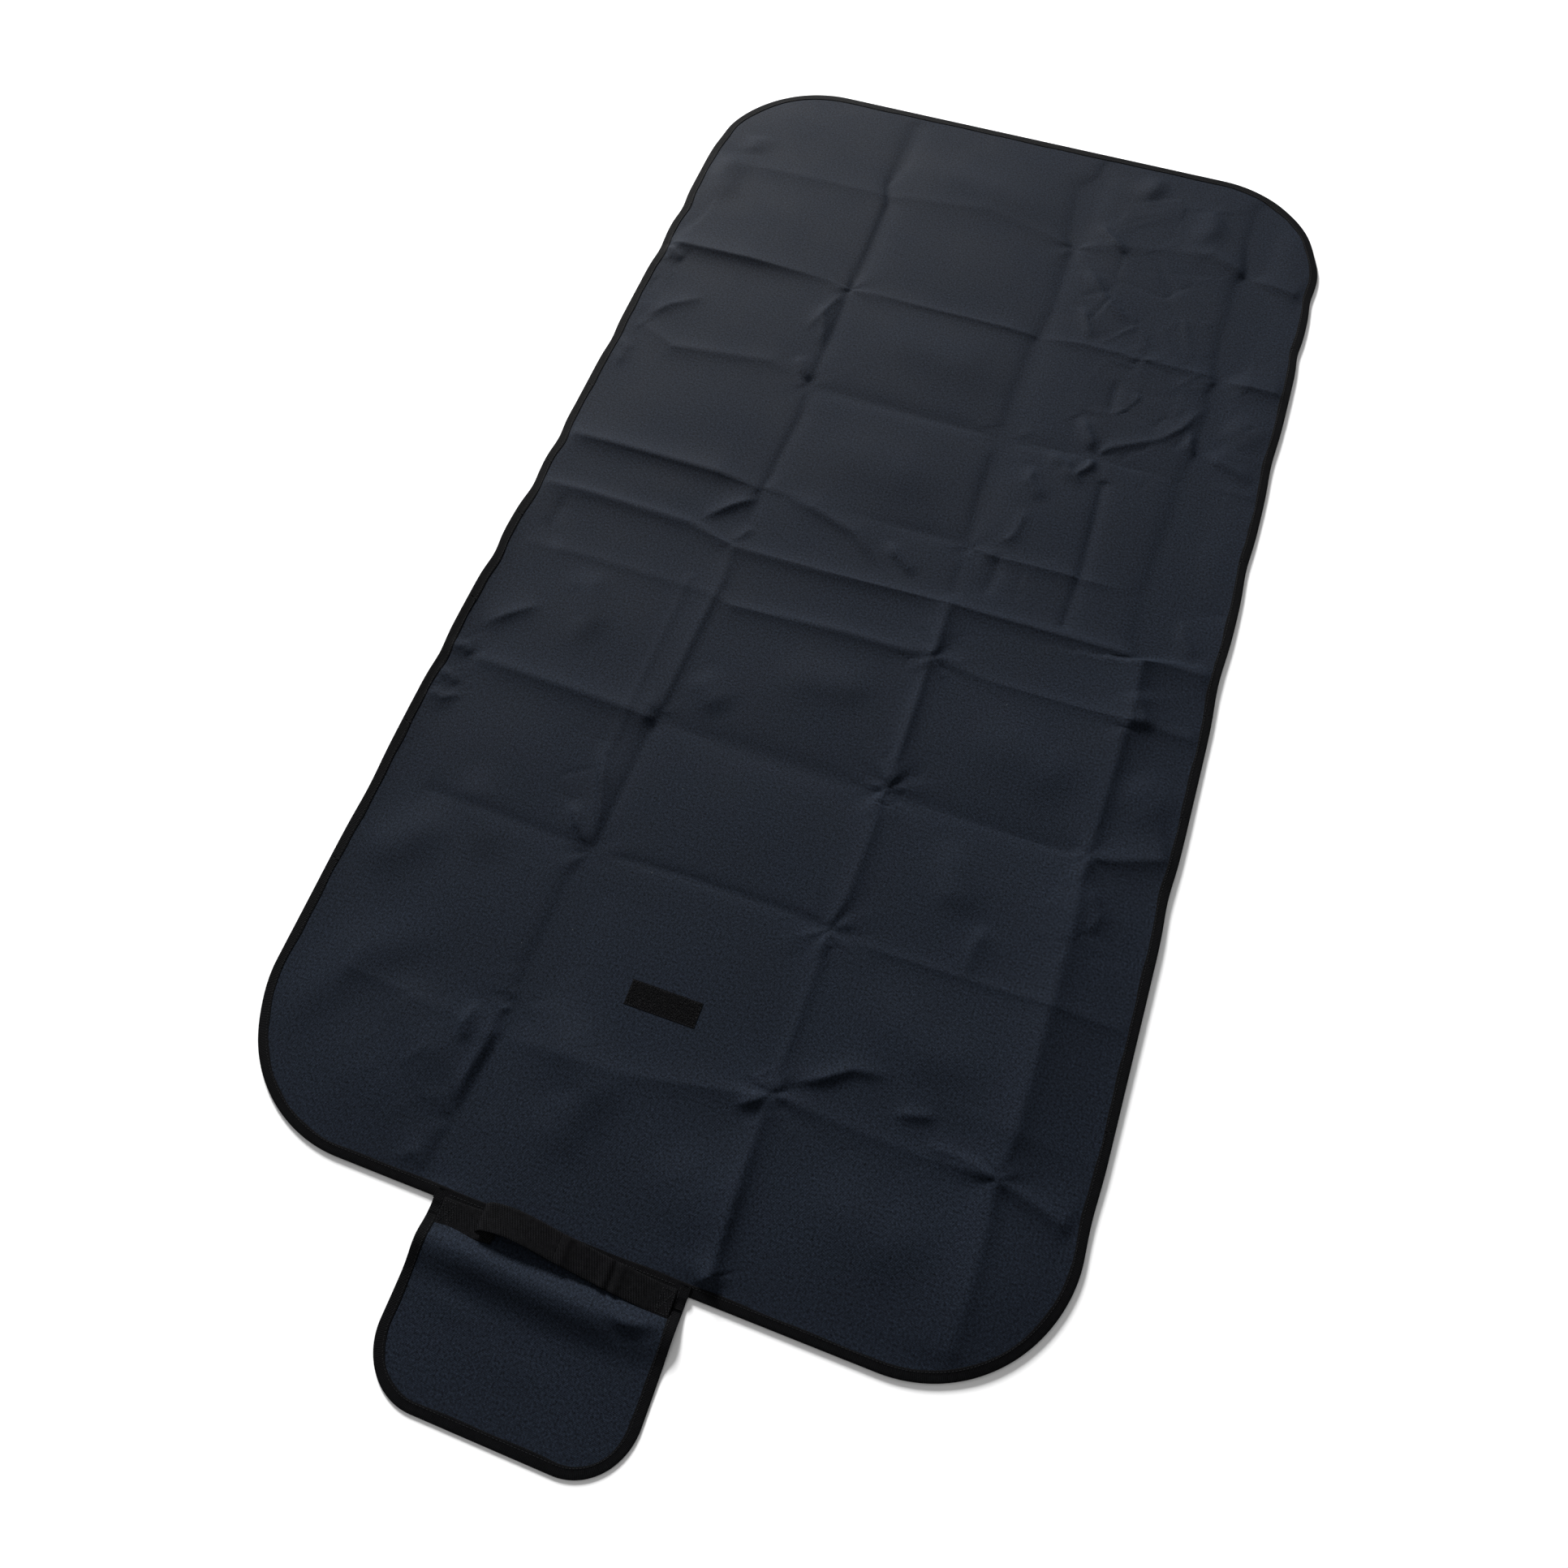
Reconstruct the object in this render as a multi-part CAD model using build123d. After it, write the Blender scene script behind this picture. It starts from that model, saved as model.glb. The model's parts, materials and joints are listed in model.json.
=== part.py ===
from build123d import *
import os

# Thin padded mat with bound edges.  It folds into a flat pack along cross creases, and a short
# flap with hook tape closes the pack.  The outer cloth is up, X is the width, +Y the far end and
# the underside rests on z = 0.  The origin is under the middle of the whole outline.

os.makedirs("parts", exist_ok=True)

# ---- driving dimensions, mm ----
mat_width = 800.0
mat_length = 1468.0
corner_radius = 143.0
row_pitch = 160.0            # distance between cross creases
half_fold_row = 80.0         # the two short rows beside the half fold
crease_gap = 0.2             # each row stops this far short of its crease line

tape_thick = 0.3             # folded grosgrain binding
cloth_thick = 0.35
foam_thick = 0.9
lining_thick = 0.35
bind_width = 10.0            # how much binding shows on each face

flap_width = 244.0
flap_centre_x = -35.0
flap_past_mat = 162.0        # from the near edge of the mat to the end of the flap
flap_corner_radius = 57.0
seam_overlap = 8.0           # how far the flap lies on the mat's own binding
seam_past_edge = 0.6         # the flap bends this far beyond the edge of the mat
spine_width = 25.2           # band of the flap that covers the end of the folded pack
bend_gap = 0.3

patch_length = 72.0          # loop tape and hook tape
patch_width = 25.0
patch_thick = 0.7
loop_centre_x = -28.0
loop_from_mat_centre = -506.0
hook_from_flap_end = 22.5
stitch_thick = 0.25
stitch_width = 0.6
stitch_inset = 1.3

webbing_width = 25.0
webbing_thick = 1.2
webbing_edge = 0.1           # from the flap bend to the near edge of the webbing
tab_length = 14.0            # flat sewn end of the handle
strap_rise = 10.5            # height of the slack middle above the sewn ends
strap_ramp = 34.0            # length of each sloping end of the slack middle
tab_gap = 0.4
bartack_width = 1.6
bartack_thick = 0.35

# ---- places worked out from them ----
total_length = mat_length + flap_past_mat
mat_y = flap_past_mat / 2                          # centre of the mat along Y
near_edge = mat_y - mat_length / 2
far_edge = mat_y + mat_length / 2
laminate_thick = lining_thick + foam_thick + cloth_thick
rim_thick = laminate_thick + 2 * tape_thick
lining_z = tape_thick
foam_z = lining_z + lining_thick
face_z = foam_z + foam_thick
mat_top = face_z + cloth_thick

creases = [mat_y + s for s in (
    -half_fold_row - 3 * row_pitch,
    -half_fold_row - 2 * row_pitch,
    -half_fold_row - row_pitch,
    -half_fold_row,
    0.0,
    half_fold_row,
    half_fold_row + row_pitch,
    half_fold_row + 2 * row_pitch,
    half_fold_row + 3 * row_pitch,
)]
row_starts = [near_edge] + [c + crease_gap for c in creases]
row_ends = [c - crease_gap for c in creases] + [far_edge]
row_count = len(row_starts)

flap_end = -total_length / 2
flap_start = near_edge + seam_overlap
bend_a = near_edge - seam_past_edge
bend_b = bend_a - spine_width
flap_z = rim_thick                                 # the flap lies on the mat's binding
flap_lining_z = flap_z + tape_thick
flap_cloth_z = flap_lining_z + lining_thick
flap_top = flap_cloth_z + cloth_thick
flap_rim_top = flap_top + tape_thick
flap_left = flap_centre_x - flap_width / 2
flap_right = flap_centre_x + flap_width / 2
arc_inset = 1 - 2 ** -0.5                          # middle of a quarter arc, in radii from its corner


def slab(outline, z0, thick):
    """A flat layer with the given outline, standing on z0."""
    return extrude(Pos(0, 0, z0) * outline, amount=thick)


def band(y0, y1, z0, thick):
    """A wide plain block between two Y values, used to cut one row out of the whole mat."""
    length = y1 - y0
    centre = Pos(0, (y0 + y1) / 2, z0 + thick / 2)
    return centre * Box(2 * mat_width, length, thick)


def mat_outline(inset):
    """Rounded outline of the mat, moved in from its edge."""
    return Pos(0, mat_y) * RectangleRounded(
        mat_width - 2 * inset, mat_length - 2 * inset, corner_radius - inset)


def flap_outline(inset):
    """Flap with a straight top edge and two round corners at its free end."""
    left = flap_left + inset
    right = flap_right - inset
    bottom = flap_end + inset
    radius = flap_corner_radius - inset
    cut = arc_inset * radius
    sides = [
        Line((left, flap_start), (left, bottom + radius)),
        ThreePointArc((left, bottom + radius), (left + cut, bottom + cut), (left + radius, bottom)),
        Line((left + radius, bottom), (right - radius, bottom)),
        ThreePointArc((right - radius, bottom), (right - cut, bottom + cut), (right, bottom + radius)),
        Line((right, bottom + radius), (right, flap_start)),
        Line((right, flap_start), (left, flap_start)),
    ]
    return make_face(Wire(sides))


def save(name, shape):
    """Write one sub-part and say how many solids it holds."""
    solids = shape.solids()
    shape = solids[0] if len(solids) == 1 else Compound(solids)
    export_step(shape, os.path.join("parts", name + ".step"))
    print(name, len(solids), "solid(s)", round(shape.volume, 1), "mm3")


# ---- the mat: lining, foam, face cloth and binding, cut into rows at the cross creases ----
laminate = mat_outline(tape_thick)
rim = mat_outline(0) - mat_outline(bind_width)
tape = slab(rim, 0, rim_thick) - slab(laminate, lining_z, laminate_thick)
layers = {
    "lining_cloth_row": slab(laminate, lining_z, lining_thick),
    "foam_row": slab(laminate, foam_z, foam_thick),
    "face_cloth_row": slab(laminate, face_z, cloth_thick),
    "edge_binding_row": tape,
}
for row in range(row_count):
    cutter = band(row_starts[row], row_ends[row], 0, rim_thick)
    for name, layer in layers.items():
        save(f"{name}_{row + 1}", layer & cutter)

# ---- loop tape on the second row, with its line of stitches ----
loop_y = mat_y + loop_from_mat_centre


def patch(x, y, z0):
    """Flat tape of the closure, standing on z0."""
    return Pos(x, y, z0 + patch_thick / 2) * Box(patch_length, patch_width, patch_thick)


def patch_stitches(x, y, z0):
    """Square of stitching sunk into the face of a closure tape, close to its edge."""
    outer = Rectangle(patch_length - 2 * stitch_inset, patch_width - 2 * stitch_inset)
    inner_inset = stitch_inset + stitch_width
    inner = Rectangle(patch_length - 2 * inner_inset, patch_width - 2 * inner_inset)
    return slab(Pos(x, y) * (outer - inner), z0, stitch_thick)


loop_thread = patch_stitches(loop_centre_x, loop_y, mat_top + patch_thick - stitch_thick)
save("loop_tape", patch(loop_centre_x, loop_y, mat_top) - loop_thread)
save("loop_tape_stitches", loop_thread)

# ---- the flap: seam on the mat, spine band and closing panel ----
flap_laminate = flap_outline(tape_thick)
flap_rim = flap_outline(0) - flap_outline(bind_width)
flap_pack = slab(flap_laminate, flap_lining_z, lining_thick + cloth_thick)
flap_tape = slab(flap_rim, flap_z, flap_rim_top - flap_z) - flap_pack
flap_cloth = slab(flap_laminate, flap_cloth_z, cloth_thick)
flap_lining = slab(flap_laminate, flap_lining_z, lining_thick)
flap_tall = flap_rim_top - flap_z

seam_cut = band(bend_a + bend_gap, flap_start, flap_z, flap_tall)
spine_cut = band(bend_b + bend_gap, bend_a - bend_gap, flap_z, flap_tall)
panel_cut = band(flap_end, bend_b - bend_gap, flap_z, flap_tall)

seam_y = flap_start - stitch_inset - stitch_width
seam_length = flap_width - 2 * bind_width
seam_line = Pos(flap_centre_x, seam_y) * Rectangle(seam_length, stitch_width)
seam_thread = slab(seam_line, flap_top - stitch_thick, stitch_thick)
seam_strip = (flap_cloth + flap_lining + flap_tape) & seam_cut
save("flap_seam_strip", seam_strip - seam_thread)
save("flap_seam_stitches", seam_thread)
save("flap_root_cloth", flap_cloth & spine_cut)
save("flap_root_lining", flap_lining & spine_cut)
save("flap_root_binding", flap_tape & spine_cut)
save("flap_cloth", flap_cloth & panel_cut)
save("flap_lining", flap_lining & panel_cut)
save("flap_binding", flap_tape & panel_cut)

# ---- hook tape under the free end of the flap ----
hook_y = flap_end + hook_from_flap_end
hook_z = flap_lining_z - patch_thick
hook_thread = patch_stitches(flap_centre_x, hook_y, hook_z)
save("hook_tape", patch(flap_centre_x, hook_y, hook_z) - hook_thread)
save("hook_tape_stitches", hook_thread)

# ---- webbing handle: two sewn ends on the spine band and a slack middle that lifts ----
handle_left = flap_left + bind_width
handle_right = flap_right - bind_width
handle_y = bend_a - webbing_edge - webbing_width / 2
strap_left = handle_left + tab_length
strap_right = handle_right - tab_length


def tab(x0):
    """Flat end of the webbing."""
    centre = Pos(x0 + tab_length / 2, handle_y, flap_top + webbing_thick / 2)
    return centre * Box(tab_length, webbing_width, webbing_thick)


def bartack(x):
    """Dense bar of stitches across a sewn end."""
    top = flap_top + webbing_thick
    length = webbing_width - 4 * stitch_inset
    return Pos(x, handle_y, top + bartack_thick / 2) * Box(bartack_width, length, bartack_thick)


ends = tab(handle_left) + tab(handle_right - tab_length)
save("handle_ends", ends)
tack_inset = tab_length / 4
tacks = [
    bartack(handle_left + tack_inset),
    bartack(handle_left + tab_length - tack_inset),
    bartack(handle_right - tack_inset),
    bartack(handle_right - tab_length + tack_inset),
]
save("handle_bartacks", Compound(tacks))

foot_z = flap_top + webbing_thick / 2
x0 = strap_left + tab_gap
x1 = strap_right - tab_gap
middle_path = Polyline(
    (x0, foot_z),
    (x0 + strap_ramp, foot_z + strap_rise),
    (x1 - strap_ramp, foot_z + strap_rise),
    (x1, foot_z),
)
strap_profile = trace(middle_path, line_width=webbing_thick)
strap = extrude(Plane.XZ * strap_profile, amount=webbing_width / 2, both=True)
strap = Pos(0, handle_y, 0) * strap
save("handle_webbing", strap)
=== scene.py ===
# %% [markdown]
# A thin padded mat that folds up into a flat pack lies open on a pale floor, outer cloth up.
# The design model already says how big each row is and where it hinges, so this file only
# makes the looks: cloth, tape, webbing, thread and light, all in metres.

# %% Load the design model
import bpy
import json
import math
import numpy as np
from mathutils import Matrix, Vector

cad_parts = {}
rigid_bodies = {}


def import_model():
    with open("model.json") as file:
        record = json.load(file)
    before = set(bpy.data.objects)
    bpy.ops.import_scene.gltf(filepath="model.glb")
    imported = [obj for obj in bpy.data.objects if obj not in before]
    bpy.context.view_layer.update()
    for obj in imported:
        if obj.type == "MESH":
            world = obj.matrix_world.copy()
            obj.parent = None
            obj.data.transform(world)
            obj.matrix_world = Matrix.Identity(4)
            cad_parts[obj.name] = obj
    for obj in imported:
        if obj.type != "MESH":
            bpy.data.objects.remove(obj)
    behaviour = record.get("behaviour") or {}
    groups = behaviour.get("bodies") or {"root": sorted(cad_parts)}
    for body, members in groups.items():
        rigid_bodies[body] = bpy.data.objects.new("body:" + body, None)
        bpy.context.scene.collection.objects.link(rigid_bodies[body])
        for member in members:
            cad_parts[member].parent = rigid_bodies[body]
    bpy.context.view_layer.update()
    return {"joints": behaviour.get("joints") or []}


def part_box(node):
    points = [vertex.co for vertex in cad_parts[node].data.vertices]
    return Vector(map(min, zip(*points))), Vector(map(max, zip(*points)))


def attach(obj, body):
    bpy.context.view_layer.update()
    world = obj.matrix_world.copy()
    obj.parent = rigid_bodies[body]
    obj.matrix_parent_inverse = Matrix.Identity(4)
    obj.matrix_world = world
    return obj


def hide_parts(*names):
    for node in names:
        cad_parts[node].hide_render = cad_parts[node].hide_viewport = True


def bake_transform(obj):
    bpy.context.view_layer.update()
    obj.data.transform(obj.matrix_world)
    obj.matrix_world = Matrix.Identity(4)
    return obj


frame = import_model()

# %% [markdown]
# The mat is ten rows joined by nine cross creases. Its length, width, layers and hinges come
# from the design's own boxes and joints. Only the corner radius is repeated here. Places
# are measured from the middle of the mat, in metres, and the z of the shared frame is kept.

# %% Sizes taken from the design
mm = 0.001
row_count = 10
near_low, near_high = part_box("edge_binding_row_1")
far_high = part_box(f"edge_binding_row_{row_count}")[1]
mat_y = (near_low.y + far_high.y) / 2
half_length = (far_high.y - near_low.y) / 2
half_width = near_high.x
rim_top = near_high.z
lining_low, lining_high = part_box("lining_cloth_row_4")
foam_low, foam_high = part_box("foam_row_4")
face_low, face_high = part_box("face_cloth_row_4")
middle_z = (face_high.z + lining_low.z) / 2
cloth_inset = half_width - face_high.x
corner_radius = 143 * mm
print("mat", round(2 * half_width, 4), "x", round(2 * half_length, 4), "m, rim", round(rim_top, 4))

# %% [markdown]
# A hinge of the design gives each crease two things: its place, and a lever, which is how far
# the hinge line is from the middle of the cloth. A long lever needs more cloth to go round it.
# Cloth is cut at the middles of rows, because a piece can bend over one crease only.

# %% Creases between the rows, and the middle of each row
creases = sorted(
    (j["pos_m"][1] - mat_y, abs(j["pos_m"][2] - middle_z))
    for j in frame["joints"] if j["parent"].startswith("row_") and j["child"].startswith("row_"))
crease_lines = [y for y, lever in creases]
crease_levers = [lever for y, lever in creases]
row_edges = [-half_length, *crease_lines, half_length]
row_middles = [(a + b) / 2 for a, b in zip(row_edges, row_edges[1:])]
# Each length of cloth runs from one row's middle to the next row's middle, over one crease.
span_edges = [-half_length, *row_middles[1:-1], half_length]
bend_share = 2.8             # length of cloth with closer grid lines at a crease, in levers of its hinge
bend_least = 3 * mm
print("creases at", [round(y / mm) for y in crease_lines], "mm")

# %% [markdown]
# Cloth that has been folded keeps the memory of every fold. Each crease is a line along which
# the sheet stands up or dips with a sharp tip and long flanks. Flanks of unequal width make
# the dark and bright bands that show which way a fold went. So the height of the cloth over
# the floor is a sum of simple marks: crease lines, short wrinkles, puckers where two creases
# cross, soft domes between them, and crumples. A simulation could drop a sheet, but it
# wouldn't know where this mat was folded, so the marks are placed one by one.

# %% Distance from points to a drawn line
def smooth_step(t):
    """0 below 0, 1 above 1, and a smooth ramp between."""
    t = np.clip(t, 0, 1)
    return t * t * (3 - 2 * t)


def near_line(points, x, y):
    """Signed distance to a line through listed points (+ on its right-hand side as it is
    walked), how far along it the nearest place is, from 0 to 1, and the line's own values there."""
    points = np.array(points, float)
    line, values = points[:, :2] * mm, points[:, 2:]
    lengths = np.linalg.norm(np.diff(line, axis=0), axis=1)
    starts = np.concatenate([[0], np.cumsum(lengths)])
    best = np.full(x.shape, np.inf)
    side = np.zeros(x.shape)
    along = np.zeros(x.shape)
    value = np.zeros((values.shape[1],) + x.shape)
    for i, length in enumerate(lengths):
        ax, ay = line[i]
        dx, dy = (line[i + 1] - line[i]) / length
        t = np.clip((x - ax) * dx + (y - ay) * dy, 0, length)
        away = np.hypot(x - ax - t * dx, y - ay - t * dy)
        closer = away < best
        cross = (x - ax) * dy - (y - ay) * dx
        best = np.where(closer, away, best)
        side = np.where(closer, np.sign(cross), side)
        along = np.where(closer, (starts[i] + t) / starts[-1], along)
        for k in range(values.shape[1]):
            here = values[i, k] + (values[i + 1, k] - values[i, k]) * t / length
            value[k] = np.where(closer, here, value[k])
    return best * side, along, value


print("smooth ramp at a quarter:", smooth_step(0.25))

# %% [markdown]
# One mark is a line with a height that fades away on both sides. A sharp mark falls off like a
# pressed crease, steep at the tip, and a round one like a slack fold. Relief scales all heights.

# %% One crease or wrinkle
tip_radius = 0.9 * mm        # rounds the tip of a sharp crease
sharp_relief = 1.75
soft_relief = 1.5


def mark(points, x, y, fade=0.08, sharp=True):
    """Height of one crease. A point is (x, y, height, width on the right, width on the left),
    all in mm, walking along the line. Sharp ones have a pointed tip, others are round."""
    distance, along, (height, right, left) = near_line(points, x, y)
    width = np.where(distance > 0, right, left) * mm
    if sharp:
        shape = np.exp(-(np.hypot(distance, tip_radius) - tip_radius) / width)
    else:
        shape = np.exp(-(distance / width) ** 2)
    ends = smooth_step(along / fade) * smooth_step((1 - along) / fade)
    return height * mm * (sharp_relief if sharp else soft_relief) * shape * ends


print("tips are round to", tip_radius / mm, "mm")

# %% [markdown]
# The pack was folded in both directions, so there are three creases along the mat as well.
# Where the near half was folded one way and the far half the other, a crease changes from a
# ridge to a dip at the half fold. Each list below is one crease, walked from the near end.

# %% Creases along the mat
along_creases = [
    # left-hand crease: mostly a dip whose left flank is the steep one
    [(-166, -730, -5.6, 20, 7), (-166, -672, -4.6, 20, 7), (-162, -600, -3.4, 18, 8),
     (-158, -545, -3.6, 16, 6), (-157, -500, -5.6, 24, 7), (-156, -420, -5.2, 24, 7),
     (-153, -380, -1.6, 10, 5), (-149, -240, -1.0, 8, 4), (-149, -215, 1.6, 4, 14),
     (-146, -110, 2.0, 4, 14), (-143, -50, 1.8, 5, 16), (-148, 0, 0.6, 8, 8),
     (-142, 60, -1.0, 8, 6), (-141, 130, -1.6, 9, 4), (-137, 200, -1.8, 10, 4),
     (-143, 245, -1.2, 8, 4), (-143, 330, -1.8, 12, 4), (-144, 400, -1.2, 10, 5),
     (-142, 470, -2.8, 12, 4), (-144, 560, -2.6, 12, 4), (-155, 592, -2.0, 8, 5),
     (-150, 640, -3.0, 10, 9), (-150, 726, -3.2, 9, 9)],
    # middle crease: a ridge near the flap, a dip at the far end
    [(100, -730, 5.2, 8, 22), (97, -640, 4.6, 8, 22), (95, -560, 1.6, 8, 12),
     (97, -500, 1.4, 5, 6), (98, -410, 1.2, 6, 8), (96, -380, 0.8, 6, 6),
     (103, -350, 2.0, 8, 14), (105, -250, 2.0, 8, 12), (104, -215, 2.8, 7, 7),
     (103, -90, 2.8, 7, 7), (104, -60, 3.4, 9, 16), (103, -5, 2.4, 9, 14),
     (102, 20, -0.8, 10, 6), (100, 90, -1.2, 10, 6), (97, 150, -3.0, 16, 6),
     (97, 235, -3.0, 16, 6), (97, 300, -2.6, 14, 9), (98, 395, -2.6, 14, 8),
     (104, 450, -1.2, 12, 10), (102, 545, -2.0, 12, 10), (99, 600, -4.6, 12, 9),
     (97, 660, -5.0, 12, 13), (106, 690, -3.4, 12, 6), (107, 728, -3.4, 12, 5)],
    # right-hand crease: a steep ridge up to the half fold, then a steep dip
    [(312, -718, 3.0, 12, 30), (313, -600, 3.4, 12, 30), (313, -548, 3.0, 10, 26),
     (315, -510, 6.6, 30, 40), (316, -380, 7.2, 36, 44), (316, -290, 5.8, 26, 40),
     (313, -235, 3.4, 10, 26), (314, -200, 3.4, 9, 30), (317, -85, 4.2, 12, 34),
     (318, -2, 4.4, 16, 34), (316, 6, -4.6, 30, 9), (314, 90, -6.4, 34, 9),
     (316, 240, -5.2, 30, 8), (317, 290, -3.4, 22, 5), (318, 398, -3.4, 20, 5),
     (317, 420, -5.6, 26, 7), (318, 560, -5.8, 26, 7), (318, 680, -6.0, 24, 7),
     (316, 716, -5.0, 20, 7)],
    # a faint extra crease in the third column
    [(226, 12, -1.2, 7, 4), (228, 90, -1.6, 7, 4), (226, 150, -1.8, 8, 4), (222, 218, -1.4, 7, 4)],
    # a second faint line beside the left-hand crease
    [(-180, -285, 0.7, 3, 4), (-181, -190, 0.8, 3, 4), (-179, -50, 0.6, 3, 4)],
]
print(len(along_creases), "creases along the mat")

# %% [markdown]
# The cross creases are where the rows hinge. They are walked from left to right, column by
# column. In the left-hand column two of them stand up as long ridges with a steep near side.

# %% Creases across the mat
across_creases = [
    # the crease nearest the far end, and the others in order towards the flap
    [(-394, 566, 0.4, 22, 22), (-300, 569, 1.5, 16, 26), (-160, 571, 1.5, 20, 26),
     (-20, 586, 1.8, 26, 26), (96, 562, 0.8, 20, 20), (225, 592, 0.8, 14, 16),
     (268, 596, 2.6, 12, 18), (318, 577, 3.2, 9, 22), (392, 561, 3.0, 10, 22)],
    [(-396, 412, 3.0, 12, 26), (-376, 405, 5.2, 13, 34), (-280, 407, 4.8, 13, 34),
     (-200, 408, 2.0, 10, 26), (-144, 405, 0.8, 8, 12), (-60, 402, 1.6, 6, 9),
     (60, 402, 1.8, 6, 9), (104, 402, 0.8, 6, 8), (150, 406, 1.6, 8, 8),
     (240, 405, 1.4, 8, 8), (318, 406, 1.6, 9, 10), (345, 402, 3.6, 10, 20), (396, 402, 3.4, 10, 20)],
    [(-384, 276, 0.8, 10, 14), (-322, 246, 2.4, 14, 14), (-200, 262, 1.6, 12, 14),
     (-150, 248, -0.8, 8, 8), (-130, 243, -2.2, 9, 10), (0, 241, -2.2, 8, 9),
     (90, 241, -1.8, 8, 9), (150, 244, -1.0, 6, 8), (250, 246, -1.0, 6, 8), (396, 248, 1.4, 7, 10)],
    [(-396, 88, 3.0, 14, 16), (-370, 85, 4.8, 14, 18), (-200, 85, 4.6, 13, 18),
     (-160, 83, 2.0, 8, 12), (-120, 84, 0.9, 6, 8), (10, 84, -0.8, 8, 8), (60, 85, -1.8, 8, 10),
     (100, 84, -0.8, 8, 8), (125, 78, 1.6, 9, 7), (215, 80, 1.8, 9, 8), (318, 82, -0.9, 6, 9),
     (396, 84, -1.6, 6, 10)],
    [(-398, 12, 2.4, 16, 8), (-340, 13, 3.6, 14, 8), (-205, 11, 3.0, 12, 8),
     (-148, -4, 2.4, 10, 8), (-40, -3, 2.8, 10, 10), (100, 3, 2.4, 9, 8),
     (200, 4, 2.6, 9, 8), (318, 5, 2.8, 12, 8), (396, 5, 3.6, 22, 8)],
    [(-380, -70, 0.6, 8, 8), (-300, -66, 1.0, 8, 8), (-150, -68, 0.8, 8, 10),
     (-120, -76, 2.2, 12, 10), (0, -68, 3.0, 13, 8), (80, -67, 2.2, 9, 8), (104, -68, 1.0, 7, 8),
     (180, -74, 1.2, 8, 6), (310, -74, 1.2, 8, 6), (330, -72, 2.6, 12, 10), (396, -72, 2.0, 12, 10)],
    [(-370, -226, 1.4, 10, 12), (-330, -226, 3.0, 16, 16), (-160, -230, 3.2, 14, 18),
     (-144, -231, -0.8, 10, 10), (-60, -232, -2.4, 14, 10), (80, -233, -2.2, 12, 10),
     (150, -231, -1.6, 9, 12), (300, -233, -1.4, 9, 12), (318, -236, 2.4, 12, 14),
     (396, -208, 5.2, 14, 26)],
    [(-352, -380, -1.0, 12, 8), (-200, -384, -1.2, 12, 8), (-150, -386, -1.0, 5, 5),
     (-60, -381, -1.2, 6, 4), (80, -381, -1.1, 6, 4), (140, -390, 0.8, 5, 5),
     (300, -388, 0.8, 5, 5), (396, -388, 1.2, 8, 10)],
    [(-340, -572, 1.2, 16, 16), (-180, -585, 0.8, 14, 14), (-40, -580, 1.6, 22, 16),
     (70, -558, 2.2, 14, 18), (110, -552, 1.0, 9, 10), (250, -556, 0.8, 8, 8),
     (314, -552, 3.0, 8, 18), (388, -574, 3.4, 9, 22)],
]
print(len(across_creases), "creases across the mat")

# %% [markdown]
# Short wrinkles run off the corners where creases cross, and a few long slack folds lie
# across the panels. Some have a sharp tip, and the soft ones are round. A sharp wrinkle walks
# in the direction that puts its steep side on the right.

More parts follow.
